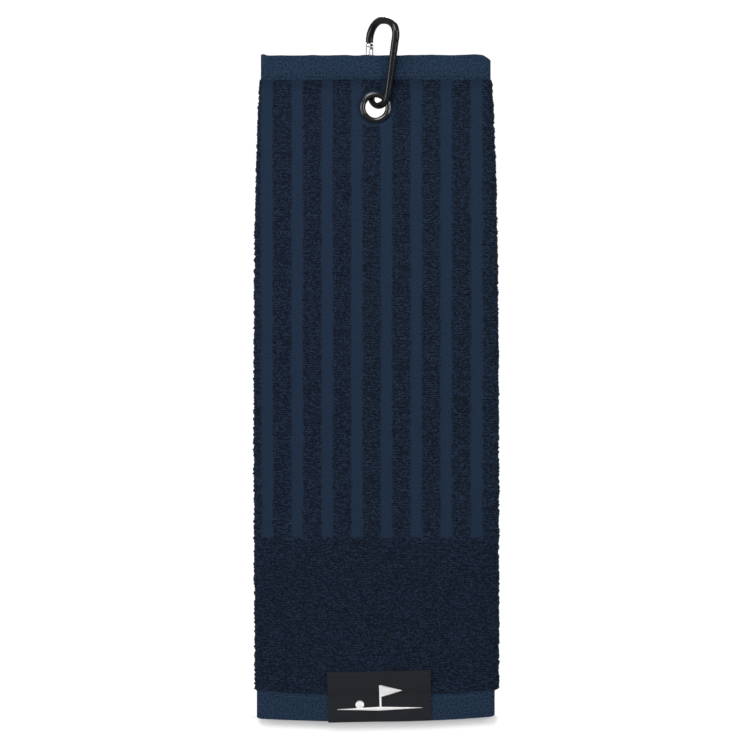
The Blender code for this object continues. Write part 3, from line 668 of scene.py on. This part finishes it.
def stitch_ends(start, end):
    """Starts and ends of a row of stitches from one point to another."""
    start, end = np.asarray(start, float), np.asarray(end, float)
    length = np.linalg.norm(end - start)
    count = max(1, round(length / (STITCH + STITCH_GAP)))
    first = np.arange(count)[:, None] / count
    last = first + STITCH / (STITCH + STITCH_GAP) / count
    return start + (end - start) * first, start + (end - start) * last


# ---- turned metal


def revolve(name, profile, place, turn):
    """Turns a closed profile of (radius, height) about local Z, then places it."""
    steps = 2 * math.pi * np.arange(TURN_STEPS) / TURN_STEPS
    profile = np.asarray(profile)
    radius, height = profile[:, 0], profile[:, 1]
    around = ((np.cos(steps), radius), (np.sin(steps), radius), (np.ones(TURN_STEPS), height))
    points = np.stack([np.outer(turned, size) for turned, size in around], axis=-1)
    number = np.arange(TURN_STEPS * len(profile)).reshape(TURN_STEPS, -1)
    beside, above = np.roll(number, -1, axis=0), np.roll(number, -1, axis=1)
    corner = np.roll(beside, -1, axis=1)
    quads = np.stack((number, above, corner, beside), axis=-1).reshape(-1, 4)
    made = mesh_from_arrays(name, points.reshape(-1, 3), quads)
    made.data.transform(Matrix.Translation(place) @ turn)
    tidy_normals(made)
    return made


def tidy_normals(piece, angle=SMOOTH_ANGLE):
    """Turns every face outward, and keeps only the edges sharper than the angle sharp."""
    bm = bmesh.new()
    bm.from_mesh(piece.data)
    bmesh.ops.remove_doubles(bm, verts=bm.verts, dist=WELD)
    bmesh.ops.recalc_face_normals(bm, faces=bm.faces)
    bm.to_mesh(piece.data)
    bm.free()
    piece.data.shade_smooth()
    piece.data.set_sharp_from_angle(angle=angle)


def thick_outline(path, thickness):
    """The outline of a strip of constant thickness along an open path in a plane."""
    points = [Vector(p) for p in path]
    left, right = [], []
    for i, point in enumerate(points):
        before = (point - points[i - 1]).normalized() if i else None
        after = (points[i + 1] - point).normalized() if i + 1 < len(points) else None
        along = ((before or after) + (after or before)).normalized()
        side = Vector((-along.y, along.x))
        left.append(point + side * thickness / 2)
        right.append(point - side * thickness / 2)
    return left + right[::-1]


def make_grommet():
    """The eyelet, rolled over at the back, and the flat washer under its roll."""
    place = Vector((TOWEL_X, 0, GROMMET_Z))
    turn = Matrix.Rotation(math.pi / 2, 4, "X")
    barrel = HOLE_R + GROMMET_SHEET / 2
    throat = CREST_HEIGHT - (CREST_R - barrel)
    path = [(FLANGE_R - GROMMET_SHEET / 2, SEAT + CLEARANCE + GROMMET_SHEET / 2)]
    crest = (CREST_R, CREST_HEIGHT - CREST_BEND_R)
    path += arc(crest, CREST_BEND_R, CREST_START, math.pi / 2, ROUND_STEP)
    path += arc((CREST_R, throat), CREST_R - barrel, THROAT_START, math.pi, ROUND_STEP)
    path += arc((barrel + ROLL_R, -BARREL_BACK), ROLL_R, math.pi, 1.5 * math.pi, 2 * ROUND_STEP)
    path.append((barrel + 2 * ROLL_R, -BARREL_BACK - ROLL_R))
    eyelet = revolve("eyelet", thick_outline(path, GROMMET_SHEET), place, turn)
    top, inner = -SEAT - CLEARANCE, HOLE_R + GROMMET_SHEET + CLEARANCE
    edge = WASHER_SHEET / 2
    rim = [(FLANGE_R - edge + edge * math.cos(t), top - edge - edge * math.sin(t))
           for t in np.linspace(-math.pi / 2, math.pi / 2, 9)]
    washer = revolve("washer", rim + [(inner, top - WASHER_SHEET), (inner, top)], place, turn)
    return eyelet, washer


# ---- snap hook


LEG_LEAN = math.asin((TOP_ARC_R - BOTTOM_ARC_R) / ARC_DISTANCE)
NOSE_Z = PIVOT_FROM_NOSE
HOOK = (
    Matrix.Translation((LOOP_X, 0, -(TOP_ARC_R - TOP_ROD_R)))
    @ Matrix.Rotation(LOOP_TURN - math.pi / 2, 4, "Z") @ Matrix.Rotation(LOOP_TILT, 4, "Y")
)


def gate_side(distance):
    """The point on the gate side's centre line, this far below the end of the top arc."""
    along = Vector((math.sin(LEG_LEAN), 0, -math.cos(LEG_LEAN)))
    arc_end = Vector((-TOP_ARC_R * math.cos(LEG_LEAN), 0, -TOP_ARC_R * math.sin(LEG_LEAN)))
    return arc_end + along * distance


GATE = (
    HOOK @ Matrix.Translation(gate_side(NOSE_LENGTH + PIVOT_FROM_NOSE))
    @ Matrix.Rotation(-LEG_LEAN, 4, "Y")
)


def square_bend(x, z):
    """A point of the top arc, moved out so that the bend is squarer on the spine's side."""
    push = math.sin(2 * math.atan2(z, x)) if x > 0 and z > 0 else 0.0
    return x + BEND_OUT * push, z + BEND_UP * push


def rod_line():
    """The rod's centre line from the nose, over the top, down the spine and up to the pivot shoulder."""
    low = -LEG_LEAN
    top = arc((0, 0), TOP_ARC_R, math.pi - low, low, ARC_STEP)
    bottom = arc((0, -ARC_DISTANCE), BOTTOM_ARC_R, low, -math.pi - low, ARC_STEP)
    points = [gate_side(NOSE_LENGTH)]
    points += [Vector((x, 0, z)) for x, z in [square_bend(x, z) for x, z in top] + bottom]
    return points + [gate_side(NOSE_LENGTH + PIVOT_FROM_NOSE + SHOULDER)]


def loft(rings, sides):
    """A closed mesh through rings, each one a centre, two directions across it and a radius."""
    bm = bmesh.new()
    turns = [2 * math.pi * i / sides for i in range(sides)]
    loops = [
        [bm.verts.new(centre + (across * math.cos(t) + side * math.sin(t)) * radius) for t in turns]
        for centre, across, side, radius in rings
    ]
    for one, two in zip(loops, loops[1:]):
        for i in range(sides):
            j = (i + 1) % sides
            bm.faces.new((one[i], one[j], two[j], two[i]))
    bm.faces.new(loops[0][::-1])
    bm.faces.new(loops[-1])
    return bm, loops


def make_rod():
    """The bent rod with rounded ends. The nose's end slants up towards the outside of the loop."""
    line = rod_line()
    rings = []
    for i, point in enumerate(line):
        along = (line[min(i + 1, len(line) - 1)] - line[max(i - 1, 0)]).normalized()
        thick = float(smoothstep(point.z, TAPER_LOW, TAPER_HIGH))
        rings.append((point, along, ROD_R + (TOP_ROD_R - ROD_R) * thick))
    first, last = line[0], line[-1]
    start, end = (line[1] - first).normalized(), (last - line[-2]).normalized()
    caps = [(NOSE_ROUND * (1 - math.cos(t)), NOSE_ROUND * (1 - math.sin(t))) for t in NOSE_ROUND_TURNS]
    head = [(first + start * inset, start, ROD_R - shrink) for shrink, inset in caps]
    tail = [(last - end * inset, end, ROD_R - shrink) for shrink, inset in caps]
    rings = head[::-1] + rings[1:-1] + tail
    side = Vector((0, 1, 0))
    rings = [(point, along.cross(side), side, radius) for point, along, radius in rings]
    bm, loops = loft(rings, ROD_SIDES)
    for loop in loops[:len(caps)]:
        for vert in loop:
            outer = (first.x - vert.co.x) / ROD_R
            vert.co += start * NOSE_SLANT * (0.5 + 0.5 * outer)
    return finish_mesh("hook_rod", bm, HOOK)


def finish_mesh(name, bm, place):
    data = bpy.data.meshes.new(name)
    bm.to_mesh(data)
    bm.free()
    data.transform(place)
    made = add_object(name, data)
    tidy_normals(made)
    return made


def plate(name, outline, half, place):
    """A flat plate: an outline in the local XZ plane, half of the plate's thickness on each side of it."""
    bm = bmesh.new()
    face = bm.faces.new([bm.verts.new((x, -half, z)) for x, z in outline])
    moved = bmesh.ops.extrude_face_region(bm, geom=[face])["geom"]
    moved = [v for v in moved if isinstance(v, bmesh.types.BMVert)]
    bmesh.ops.translate(bm, vec=(0, 2 * half, 0), verts=moved)
    return finish_mesh(name, bm, place)


def round_bar(name, radius, low, high, chamfer, place):
    """A round bar along local Z with rounded ends."""
    turns = [math.pi / 2 * i / 4 for i in range(5)]
    foot = [(radius - chamfer + chamfer * math.sin(t), low + chamfer * (1 - math.cos(t))) for t in turns]
    head = [(radius - chamfer + chamfer * math.cos(t), high - chamfer * (1 - math.sin(t))) for t in turns]
    rings = max(2, round((high - low - 2 * chamfer) / BAR_STEP))
    length = [(radius, z) for z in np.linspace(low + chamfer, high - chamfer, rings + 1)[1:-1]]
    across, side = Vector((1, 0, 0)), Vector((0, 1, 0))
    bm, _ = loft([(Vector((0, 0, z)), across, side, r) for r, z in foot + length + head], BAR_SIDES)
    return finish_mesh(name, bm, place)


def cut(piece, cutter):
    """Cuts the cutter's shape out of the piece, and removes the cutter."""
    step = piece.modifiers.new("cut", "BOOLEAN")
    step.operation = "DIFFERENCE"
    step.solver = "EXACT"
    step.object = cutter
    bpy.context.view_layer.update()
    graph = bpy.context.evaluated_depsgraph_get()
    data = bpy.data.meshes.new_from_object(piece.evaluated_get(graph), depsgraph=graph)
    piece.modifiers.clear()
    piece.data = data
    bpy.data.objects.remove(cutter, do_unlink=True)


def join(name, pieces):
    """Joins pieces into one object."""
    bm = bmesh.new()
    for piece in pieces:
        bm.from_mesh(piece.data)
        bpy.data.objects.remove(piece, do_unlink=True)
    return finish_mesh(name, bm, Matrix.Identity(4))


def make_hook():
    """The rod with its pivot lug and the key on its nose."""
    edge = math.acos(LUG_HALF_WIDTH / LUG_TOP)
    lug = arc((0, 0), LUG_TOP, edge, math.pi - edge, ROUND_STEP)
    foot = -SHOULDER - JOIN_OVERLAP
    lug += [(-LUG_HALF_WIDTH, foot), (LUG_HALF_WIDTH, foot)]
    top, bottom = NOSE_Z + JOIN_OVERLAP, NOSE_Z - KEY_LENGTH
    key = [
        (-LUG_HALF_WIDTH, top), (-LUG_HALF_WIDTH, bottom), (KEY_LIP_X, bottom),
        (KEY_LIP_X, bottom + KEY_LIP), (KEY_FACE_X, bottom + KEY_LIP), (KEY_FACE_X, top),
    ]
    parts = [make_rod()]
    parts.append(plate("lug", lug, LUG_THICKNESS / 2, GATE))
    parts.append(plate("key", key, KEY_THICKNESS / 2, GATE))
    return join("hook_rod_body", parts)


def make_gate():
    """The gate's tube, slotted at the foot for the lug and at the top for the nose's key."""
    top = NOSE_Z - GATE_TOP_GAP
    gate = round_bar("gate_tube", GATE_R, -GATE_END, top, GATE_CHAMFER, GATE)
    wide = 2 * GATE_R
    slots = ((-wide, FORK_DEPTH, FORK_SLOT), (top - KEY_SLOT_DEPTH, top + wide, KEY_SLOT))
    for low, high, slot in slots:
        outline = [(-wide, low), (wide, low), (wide, high), (-wide, high)]
        cut(gate, plate("slot_cut", outline, slot / 2, GATE))
    cut(gate, round_bar("bore_cut", BORE_R, FORK_DEPTH / 2, BORE_TOP, SMALL_CHAMFER, GATE))
    tidy_normals(gate)
    return gate


def make_rivet():
    """The rivet: a shank, and a domed head on each side of the gate's fork."""
    heads = []
    reach = GATE_R + RIVET_GAP
    rise = np.linspace(0, math.pi / 2, 8)
    for side in (-1, 1):
        dome = [(RIVET_HEAD_R * math.cos(t), RIVET_HEAD * math.sin(t)) for t in rise]
        place = Vector((0, side * reach, 0))
        turn = Matrix.Rotation(-side * math.pi / 2, 4, "X")
        head = revolve(f"rivet_{side}", dome + [(0.0, 0.0)], place, turn)
        head.data.transform(GATE)
        heads.append(head)
    axis = GATE @ Matrix.Rotation(math.pi / 2, 4, "X")
    shank = round_bar("rivet_shank", RIVET_SHANK_R, -reach, reach, SMALL_CHAMFER, axis)
    return join("rivet", heads + [shank])


# ---- label


LABEL = (
    Matrix.Translation((TOWEL_X + LABEL_X, 0, TOWEL_TOP_Z - TOWEL_LENGTH - LABEL_DROP))
    @ Matrix.Rotation(-LABEL_TILT, 4, "Y")
)


def label_front(z):
    """The y of the label's face: it lies on the terry at its top and sinks onto the flat hem below."""
    over_terry = -HALF_STACK - CLEARANCE - LABEL_SHEET / 2
    over_hem = -HALF_STACK * HEM_THINNING - CLEARANCE - LABEL_SHEET
    rise = smoothstep(z, BOTTOM_HEM - LABEL_SINK_LOW, BOTTOM_HEM + LABEL_SINK_HIGH)
    return over_hem + (over_terry - over_hem) * rise


def place_points(matrix, points):
    """The points after the matrix."""
    turned = np.asarray(points) @ np.array(matrix.to_3x3()).T
    return turned + np.array(matrix.translation)


def make_label():
    """The label's strip: down the front, round the towel's bottom edge and up between its layers."""
    top = TOWEL_LENGTH - LABEL_TOP
    back_y = -(LAYER / 2 + CLEARANCE) * HEM_THINNING + LABEL_SHEET
    line = [(float(label_front(z)) + LABEL_SHEET / 2, z) for z in np.arange(top, 0.0, -LABEL_STEP)]
    front_y = line[-1][0]
    radius = (back_y - front_y) / 2
    turns = np.linspace(math.pi, 2 * math.pi, 15)[1:-1]
    middle = front_y + radius
    line += [(middle + radius * math.cos(t), radius * math.sin(t) * LABEL_TURN_SQUASH) for t in turns]
    line += [(back_y, z) for z in np.arange(0.0, LABEL_BACK_LEG, LABEL_STEP)]
    outline = thick_outline(line, LABEL_SHEET)
    rows = len(line)
    columns = np.linspace(-LABEL_WIDTH / 2, LABEL_WIDTH / 2, round(LABEL_WIDTH / LABEL_STEP) + 1)
    sides = []
    rng = np.random.default_rng(SEED + 5)
    ripple = LABEL_RIPPLE * soft_noise(rng, (rows, len(columns)), LABEL_CELLS)
    for strip in (outline[:rows], outline[rows:][::-1]):
        points = np.array([[(x, p.x, p.y) for x in columns] for p in strip])
        points[..., 1] += ripple
        points[..., 0] += LABEL_RAGGED * soft_noise(rng, (rows, 1), LABEL_EDGE_CELLS)
        sides.append(place_points(LABEL, points.reshape(-1, 3)).reshape(points.shape))
    keep = np.ones((rows - 1, len(columns) - 1), bool)
    points, quads, used = closed_grid(sides[1], sides[0], keep)
    reach = np.cumsum([0.0] + [math.dist(a, b) for a, b in zip(line, line[1:])])
    flat = np.stack(np.meshgrid(columns, reach), axis=-1).reshape(-1, 2)
    label = mesh_from_arrays("label_strip", points, quads, np.concatenate((flat, flat))[used])
    tidy_normals(label, LABEL_SMOOTH_ANGLE)
    return label, float(reach[-1])


def emblem_threads():
    """Starts and ends of satin stitches: a ground line, a ball, a flagstick and a pennant."""
    base = TOWEL_LENGTH - EMBLEM_DEPTH
    threads = []
    for x in np.arange(-EMBLEM_LINE / 2 + SATIN_PITCH, EMBLEM_LINE / 2, SATIN_PITCH):
        half = EMBLEM_LINE_HALF * (1 - abs(x) / (EMBLEM_LINE / 2)) + SATIN_R / 2
        threads.append((x - half * SATIN_SLANT, base - half, x + half * SATIN_SLANT, base + half))
    for x in np.arange(BALL_X - BALL_R + SATIN_PITCH / 2, BALL_X + BALL_R, SATIN_PITCH):
        half = math.sqrt(max(0.0, BALL_R**2 - (x - BALL_X) ** 2))
        threads.append((x, base + BALL_R - half, x, base + BALL_R + half))
    for z in np.arange(EMBLEM_LINE_HALF, FLAGSTICK, SATIN_PITCH):
        threads.append((0.0, base + z - SATIN_PITCH, FLAGSTICK_WIDTH, base + z))
    for x in np.arange(FLAGSTICK_WIDTH, FLAGSTICK_WIDTH + PENNANT_LENGTH - SATIN_PITCH, SATIN_PITCH):
        reach = (x - FLAGSTICK_WIDTH / 2) / (PENNANT_LENGTH + FLAGSTICK_WIDTH / 2)
        half = PENNANT_HEIGHT / 2 * (1 - reach)
        middle = base + FLAGSTICK - PENNANT_HEIGHT / 2
        threads.append((x, middle - half, x, middle + half))
    return np.array(threads)


def on_label(x, z, out):
    """Points on the label's face at (x, z) in its own frame, standing out from it."""
    return place_points(LABEL, np.stack((x, label_front(z) - out, z), axis=-1))


def make_emblem():
    x0, z0, x1, z1 = emblem_threads().T
    outward = np.array(LABEL.to_3x3() @ Vector((0, -1, 0)))
    starts, stops = on_label(x0, z0, THREAD_CLEAR), on_label(x1, z1, THREAD_CLEAR)
    return thread_mesh("emblem_satin", starts, stops, outward, SATIN_R, SATIN_LIFT)


def hem_stitches(name, depth, left, right):
    """One row of stitches across a hem, between two distances from its middle."""
    lean = -LEAN * float(smoothstep(GROMMET_DEPTH - depth, LEAN_START, LEAN_END))
    y = -HALF_STACK * HEM_THINNING + lean - THREAD_CLEAR
    z = TOWEL_TOP_Z - depth
    rows = stitch_ends((TOWEL_X + left, y, z), (TOWEL_X + right, y, z))
    for points in rows:
        points[:, 2] += hang(points[:, 0] - TOWEL_X, depth)
    return thread_mesh(name, *rows, OUTWARD, STITCH_R, STITCH_LIFT)


def make_seams():
    """Stitches along both hems and across the top of the label."""
    top, bottom = TOP_HEM_WIDTH / 2 - SEAM_INSET, BOTTOM_HEM_WIDTH / 2 - SEAM_INSET
    bottom_depth = TOWEL_LENGTH - BOTTOM_HEM + HEM_SEAM
    gap = LABEL_WIDTH / 2 + SEAM_INSET
    half = LABEL_WIDTH / 2 - SEAM_INSET
    z = TOWEL_LENGTH - LABEL_TOP - LABEL_SEAM
    rows = [on_label(ends[:, 0], ends[:, 2], 0.0) for ends in stitch_ends((-half, 0, z), (half, 0, z))]
    return [
        hem_stitches("top_hem_stitches", TOP_HEM - HEM_SEAM, -top, top),
        hem_stitches("bottom_hem_stitches_left", bottom_depth, -bottom, LABEL_X - gap),
        hem_stitches("bottom_hem_stitches_right", bottom_depth, LABEL_X + gap, bottom),
        thread_mesh("label_stitches", *rows, OUTWARD, STITCH_R, STITCH_LIFT),
    ]


# ---- materials


class Finish:
    """A material and the nodes that feed its shader. A value is a number, a colour or a node's output."""

    def __init__(self, name, color, roughness, metallic=0.0, specular=0.5, sheen=0.0):
        self.material = bpy.data.materials.new(name)
        self.material.use_nodes = True
        self.nodes = self.material.node_tree.nodes
        self.shader = self.nodes["Principled BSDF"]
        self.feed("Base Color", color)
        self.feed("Roughness", roughness)
        self.feed("Metallic", metallic)
        self.feed("Specular IOR Level", specular)
        if sheen:
            self.feed("Sheen Weight", sheen)
            self.feed("Sheen Roughness", SHEEN_ROUGHNESS)

    def put(self, socket, value):
        if isinstance(value, bpy.types.NodeSocket):
            self.material.node_tree.links.new(value, socket)
        elif isinstance(value, tuple):
            socket.default_value = (*value, 1.0)
        else:
            socket.default_value = value

    def feed(self, name, value):
        """Gives one of the shader's own inputs its value."""
        self.put(self.shader.inputs[name], value)

    def add(self, kind, inputs, output=0):
        """Adds a node, fills its inputs by name, and returns one of its outputs."""
        node = self.nodes.new("ShaderNode" + kind)
        for name, value in inputs.items():
            self.put(node.inputs[name], value)
        return node.outputs[output]

    def math(self, operation, *values):
        node = self.nodes.new("ShaderNodeMath")
        node.operation = operation
        for socket, value in zip(node.inputs, values):
            self.put(socket, value)
        return node.outputs[0]

    def mix(self, factor, one, two):
        """A mix of two colours."""
        node = self.nodes.new("ShaderNodeMix")
        node.data_type = "RGBA"
        for slot, value in zip(MIX_COLOR_INPUTS, (factor, one, two)):
            self.put(node.inputs[slot], value)
        return node.outputs[MIX_COLOR_OUTPUT]

    def noise(self, coords, scale, detail=2.0):
        return self.add("TexNoise", {"Vector": coords, "Scale": scale, "Detail": detail}, "Fac")

    def bump(self, height, distance, strength=1.0):
        inputs = {"Height": height, "Distance": distance, "Strength": strength}
        self.feed("Normal", self.add("Bump", inputs, "Normal"))

    def attribute(self, name):
        node = self.nodes.new("ShaderNodeAttribute")
        node.attribute_name = name
        return node.outputs["Fac"]

    def cloth_coords(self):
        """Distances along the cloth and down it, in metres."""
        node = self.nodes.new("ShaderNodeUVMap")
        node.uv_map = "cloth"
        return node.outputs[0]

    def weave(self, coords, pitch_x, pitch_y):
        """A plain weave: threads that pass over and under each other."""
        x = self.add("SeparateXYZ", {"Vector": coords}, "X")
        y = x.node.outputs["Y"]
        pairs = ((x, pitch_x), (y, pitch_y))
        turns = [self.math("MULTIPLY", along, 2 * math.pi / pitch) for along, pitch in pairs]
        return self.math("MULTIPLY", *[self.math("SINE", turn) for turn in turns])


def terry_material():
    """Navy cotton: loops painted dark in their valleys and lighter on their crests as painted shade, and a
    lighter flat weave in the stripes and hems.
    """
    made = Finish("navy_terry", FLAT_COLOR, TERRY_ROUGHNESS, specular=TERRY_SPECULAR, sheen=TERRY_SHEEN)
    made.feed("Sheen Tint", SHEEN_COLOR)
    coords = made.cloth_coords()
    pile, height, hem = (made.attribute(name) for name in ("pile", "height", "hem"))
    flat = made.math("SUBTRACT", 1.0, pile)
    fibres = made.noise(coords, FIBRE_SCALE, 3.0)
    mottle = made.noise(coords, MOTTLE_SCALE, 4.0)
    # Painted shade: dark in the loops' valleys and lighter on their crests, by each point's loop height.
    loops = made.mix(height, VALLEY_SHADE_COLOR, CREST_LIGHT_COLOR)
    woven = made.mix(hem, FLAT_COLOR, HEM_COLOR)
    patches = made.math("MULTIPLY_ADD", mottle, HEM_MOTTLE, -HEM_MOTTLE / 2)
    uneven = made.math("MULTIPLY_ADD", hem, 1 - STRIPE_MOTTLE_SHARE, STRIPE_MOTTLE_SHARE)
    patches = made.math("MULTIPLY", made.math("MULTIPLY", patches, uneven), flat)
    speckle = made.math("MULTIPLY_ADD", fibres, FIBRE_SPECKLE, 1 - FIBRE_SPECKLE / 2)
    dyed = {"Value": made.math("ADD", speckle, patches), "Color": made.mix(pile, woven, loops)}
    made.feed("Base Color", made.add("HueSaturation", dyed))
    threads = made.math("MULTIPLY", made.weave(coords, WARP_PITCH, WEFT_PITCH), flat)
    yarn = made.math("MULTIPLY", fibres, made.math("ADD", FLAT_FIBRE_RELIEF, pile))
    relief = made.math("MULTIPLY_ADD", threads, WEAVE_RELIEF, yarn)
    creases = made.math("MULTIPLY", mottle, hem)
    made.bump(made.math("MULTIPLY_ADD", creases, CREASE_RELIEF, relief), TERRY_BUMP)
    return made.material


def woven_material(name, color, roughness, pitch, relief, loose=False):
    """Yarn, as a flat weave that follows the cloth's own coordinates or as loose thread."""
    made = Finish(name, color, roughness, specular=YARN_SPECULAR, sheen=YARN_SHEEN)
    if loose:
        coords = made.add("TexCoord", {}, "Object")
        height = made.noise(coords, 1.0 / pitch, 3.0)
    else:
        coords = made.cloth_coords()
        height = made.weave(coords, pitch, pitch * WEFT_SHARE)
    darker, lighter = (tuple(min(1.0, c * share) for c in color) for share in (YARN_DARKER, YARN_LIGHTER))
    made.feed("Base Color", made.mix(made.noise(coords, 1.0 / pitch), darker, lighter))
    made.bump(height, relief)
    return made.material


def metal_material(name, color, worn, roughness, metallic=1.0, specular=0.5):
    """Metal with faint brushing and a little wear: its roughness and colour vary over the surface."""
    made = Finish(name, color, roughness, metallic, specular)
    coords = made.add("TexCoord", {}, "Object")
    broad = made.noise(coords, WEAR_SCALE)
    low, high = (roughness * share for share in ROUGHNESS_SPAN)
    made.feed("Roughness", made.math("MULTIPLY_ADD", broad, high - low, low))
    spots = {"Value": broad, "From Min": WEAR_SPAN[0], "From Max": WEAR_SPAN[1]}
    made.feed("Base Color", made.mix(made.add("MapRange", spots), color, worn))
    made.bump(made.noise(coords, BRUSHING_SCALE), BRUSHING_DEPTH, BRUSHING_STRENGTH)
    return made.material


TERRY = terry_material()
LABEL_CLOTH = woven_material("black_woven_label", LABEL_COLOR, 0.75, 0.5 * MM, 0.08 * MM)
SATIN = woven_material("white_satin_thread", SATIN_COLOR, 0.5, 0.4 * MM, 0.02 * MM, loose=True)
NAVY_THREAD = woven_material("navy_thread", NAVY_THREAD_COLOR, 0.7, 0.3 * MM, 0.03 * MM, loose=True)
BLACK_THREAD = woven_material("black_thread", BLACK_THREAD_COLOR, 0.7, 0.3 * MM, 0.03 * MM, loose=True)
GUNMETAL = metal_material("gunmetal", (0.06, 0.06, 0.0625), (0.085, 0.085, 0.085), 0.2)
BLACK_METAL = metal_material(
    "black_anodised", (0.005, 0.006, 0.008), (0.012, 0.013, 0.016), 0.2, metallic=0.1, specular=0.36,
)
SILVER = metal_material("polished_silver", (0.86, 0.86, 0.88), (0.78, 0.78, 0.8), 0.34)
STEEL = metal_material("plain_steel", (0.5, 0.5, 0.5), (0.4, 0.4, 0.4), 0.3)


# ---- assembly


def paint(piece, material):
    piece.data.materials.clear()
    piece.data.materials.append(material)


def dress(piece, material, body, replaces):
    """Gives a piece its material and slot, and makes it ride on its body, if it has one body."""
    paint(piece, material)
    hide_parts(replaces)
    if body:
        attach(piece, body)


def make_cloth():
    """The two panels of the towel. The front one rides on the towel; the back one takes the back flap's
    place and rides on no body.
    """
    front = cloth_panel("folded_terry", 0.0, SPLIT_AT + FOLD_LIP, np.random.default_rng(SEED))
    back = cloth_panel("back_panel", SPLIT_AT - FLAP_LIP, FLAT_WIDTH, np.random.default_rng(SEED + 1))
    dress(front, TERRY, "towel", "towel_cloth")
    dress(back, TERRY, None, "back_flap")
    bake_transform(back)


def make_parts():
    """Everything but the cloth. Three small parts inside the gate keep their own meshes."""
    eyelet, washer = make_grommet()
    dress(eyelet, GUNMETAL, "towel", "grommet_eyelet")
    dress(washer, GUNMETAL, "towel", "grommet_washer")
    dress(make_hook(), BLACK_METAL, "hook", "hook_body")
    dress(make_gate(), SILVER, "gate", "gate")
    dress(make_rivet(), STEEL, "hook", "gate_rivet")
    for name in ("latch_pin", "gate_plunger", "gate_spring"):
        paint(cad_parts[name], STEEL)
    label, reach = make_label()
    dress(label, LABEL_CLOTH, "towel", "label")
    dress(make_emblem(), SATIN, "towel", "label_emblem")
    for seam in make_seams():
        if seam.name == "label_stitches":
            dress(seam, BLACK_THREAD, "towel", "label_thread")
        else:
            dress(seam, NAVY_THREAD, "towel", seam.name.replace("stitches", "thread"))


# ---- studio


def area_light(name, place, target, size, power):
    data = bpy.data.lights.new(name, "AREA")
    data.shape = "RECTANGLE"
    data.size, data.size_y = size
    data.energy = power
    light = add_object(name, data)
    light.location = place
    light.rotation_euler = (target - place).to_track_quat("-Z", "Y").to_euler()


def make_camera():
    data = bpy.data.cameras.new("photo_camera")
    data.sensor_width = SENSOR
    data.lens = SENSOR * CAMERA_DISTANCE / VIEW_WIDTH
    data.clip_end = CLIP_END
    camera = add_object("photo_camera", data)
    camera.location = (VIEW_X, -HALF_STACK - CAMERA_DISTANCE, VIEW_Z)
    camera.rotation_euler = (math.pi / 2, 0, 0)
    bpy.context.scene.camera = camera


def make_world():
    """White where the camera sees past the object, and a softer white for what lights it."""
    world = bpy.data.worlds.new("white_studio")
    bpy.context.scene.world = world
    world.use_nodes = True
    nodes, links = world.node_tree.nodes, world.node_tree.links
    light, backdrop = nodes["Background"], nodes.new("ShaderNodeBackground")
    for node, strength in ((light, WORLD_LIGHT), (backdrop, BACKDROP_LIGHT)):
        node.inputs["Color"].default_value = WHITE
        node.inputs["Strength"].default_value = strength
    path = nodes.new("ShaderNodeLightPath")
    mix = nodes.new("ShaderNodeMixShader")
    links.new(path.outputs["Is Camera Ray"], mix.inputs[0])
    links.new(light.outputs[0], mix.inputs[1])
    links.new(backdrop.outputs[0], mix.inputs[2])
    links.new(mix.outputs[0], nodes["World Output"].inputs["Surface"])


def white_card(name, outline, y, glow):
    """A flat white card that faces the camera, as part of the stage."""
    bm = bmesh.new()
    bm.faces.new([bm.verts.new((x, y, z)) for x, z in outline])
    card = finish_mesh(name, bm, Matrix.Translation((TOWEL_X, 0, 0)))
    finish = Finish(name, CARD_COLOR, CARD_ROUGHNESS)
    finish.shader.inputs["Emission Color"].default_value = WHITE
    finish.feed("Emission Strength", glow)
    card.data.materials.append(finish.material)


def make_studio():
    """The lights, a card that catches the shadow of the towel's bottom edge, and a lit card behind it."""
    half = BOTTOM_HEM_WIDTH / 2
    side = CARD_WIDTH / 2
    x = np.concatenate(([-side], np.linspace(-half, half, CARD_POINTS), [side]))
    z = CLOTH_LOW.z + CARD_OVERLAP + hang(np.clip(x, -half, half), np.full_like(x, TOWEL_LENGTH))
    z = np.minimum(z, CLOTH_LOW.z + CARD_OVERLAP + RIGHT_CORNER_RISE)
    low = CLOTH_LOW.z - CARD_HEIGHT
    outline = [(-side, low), (side, low)] + list(zip(x, z))[::-1]
    white_card("shadow_card", outline, HALF_STACK + CLEARANCE, CARD_GLOW)
    white_card("card_back", outline, HALF_STACK + CARD_GAP, BACKDROP_LIGHT)
    middle = Vector((TOWEL_X, 0, (CAD_LOW.z + CAD_HIGH.z) / 2))
    for name, (offset, size, power) in LIGHTS.items():
        area_light(name, middle + Vector(offset), middle, size, power)


bpy.context.scene.view_settings.view_transform = "Standard"
make_camera()
make_world()
make_cloth()
make_parts()
make_studio()
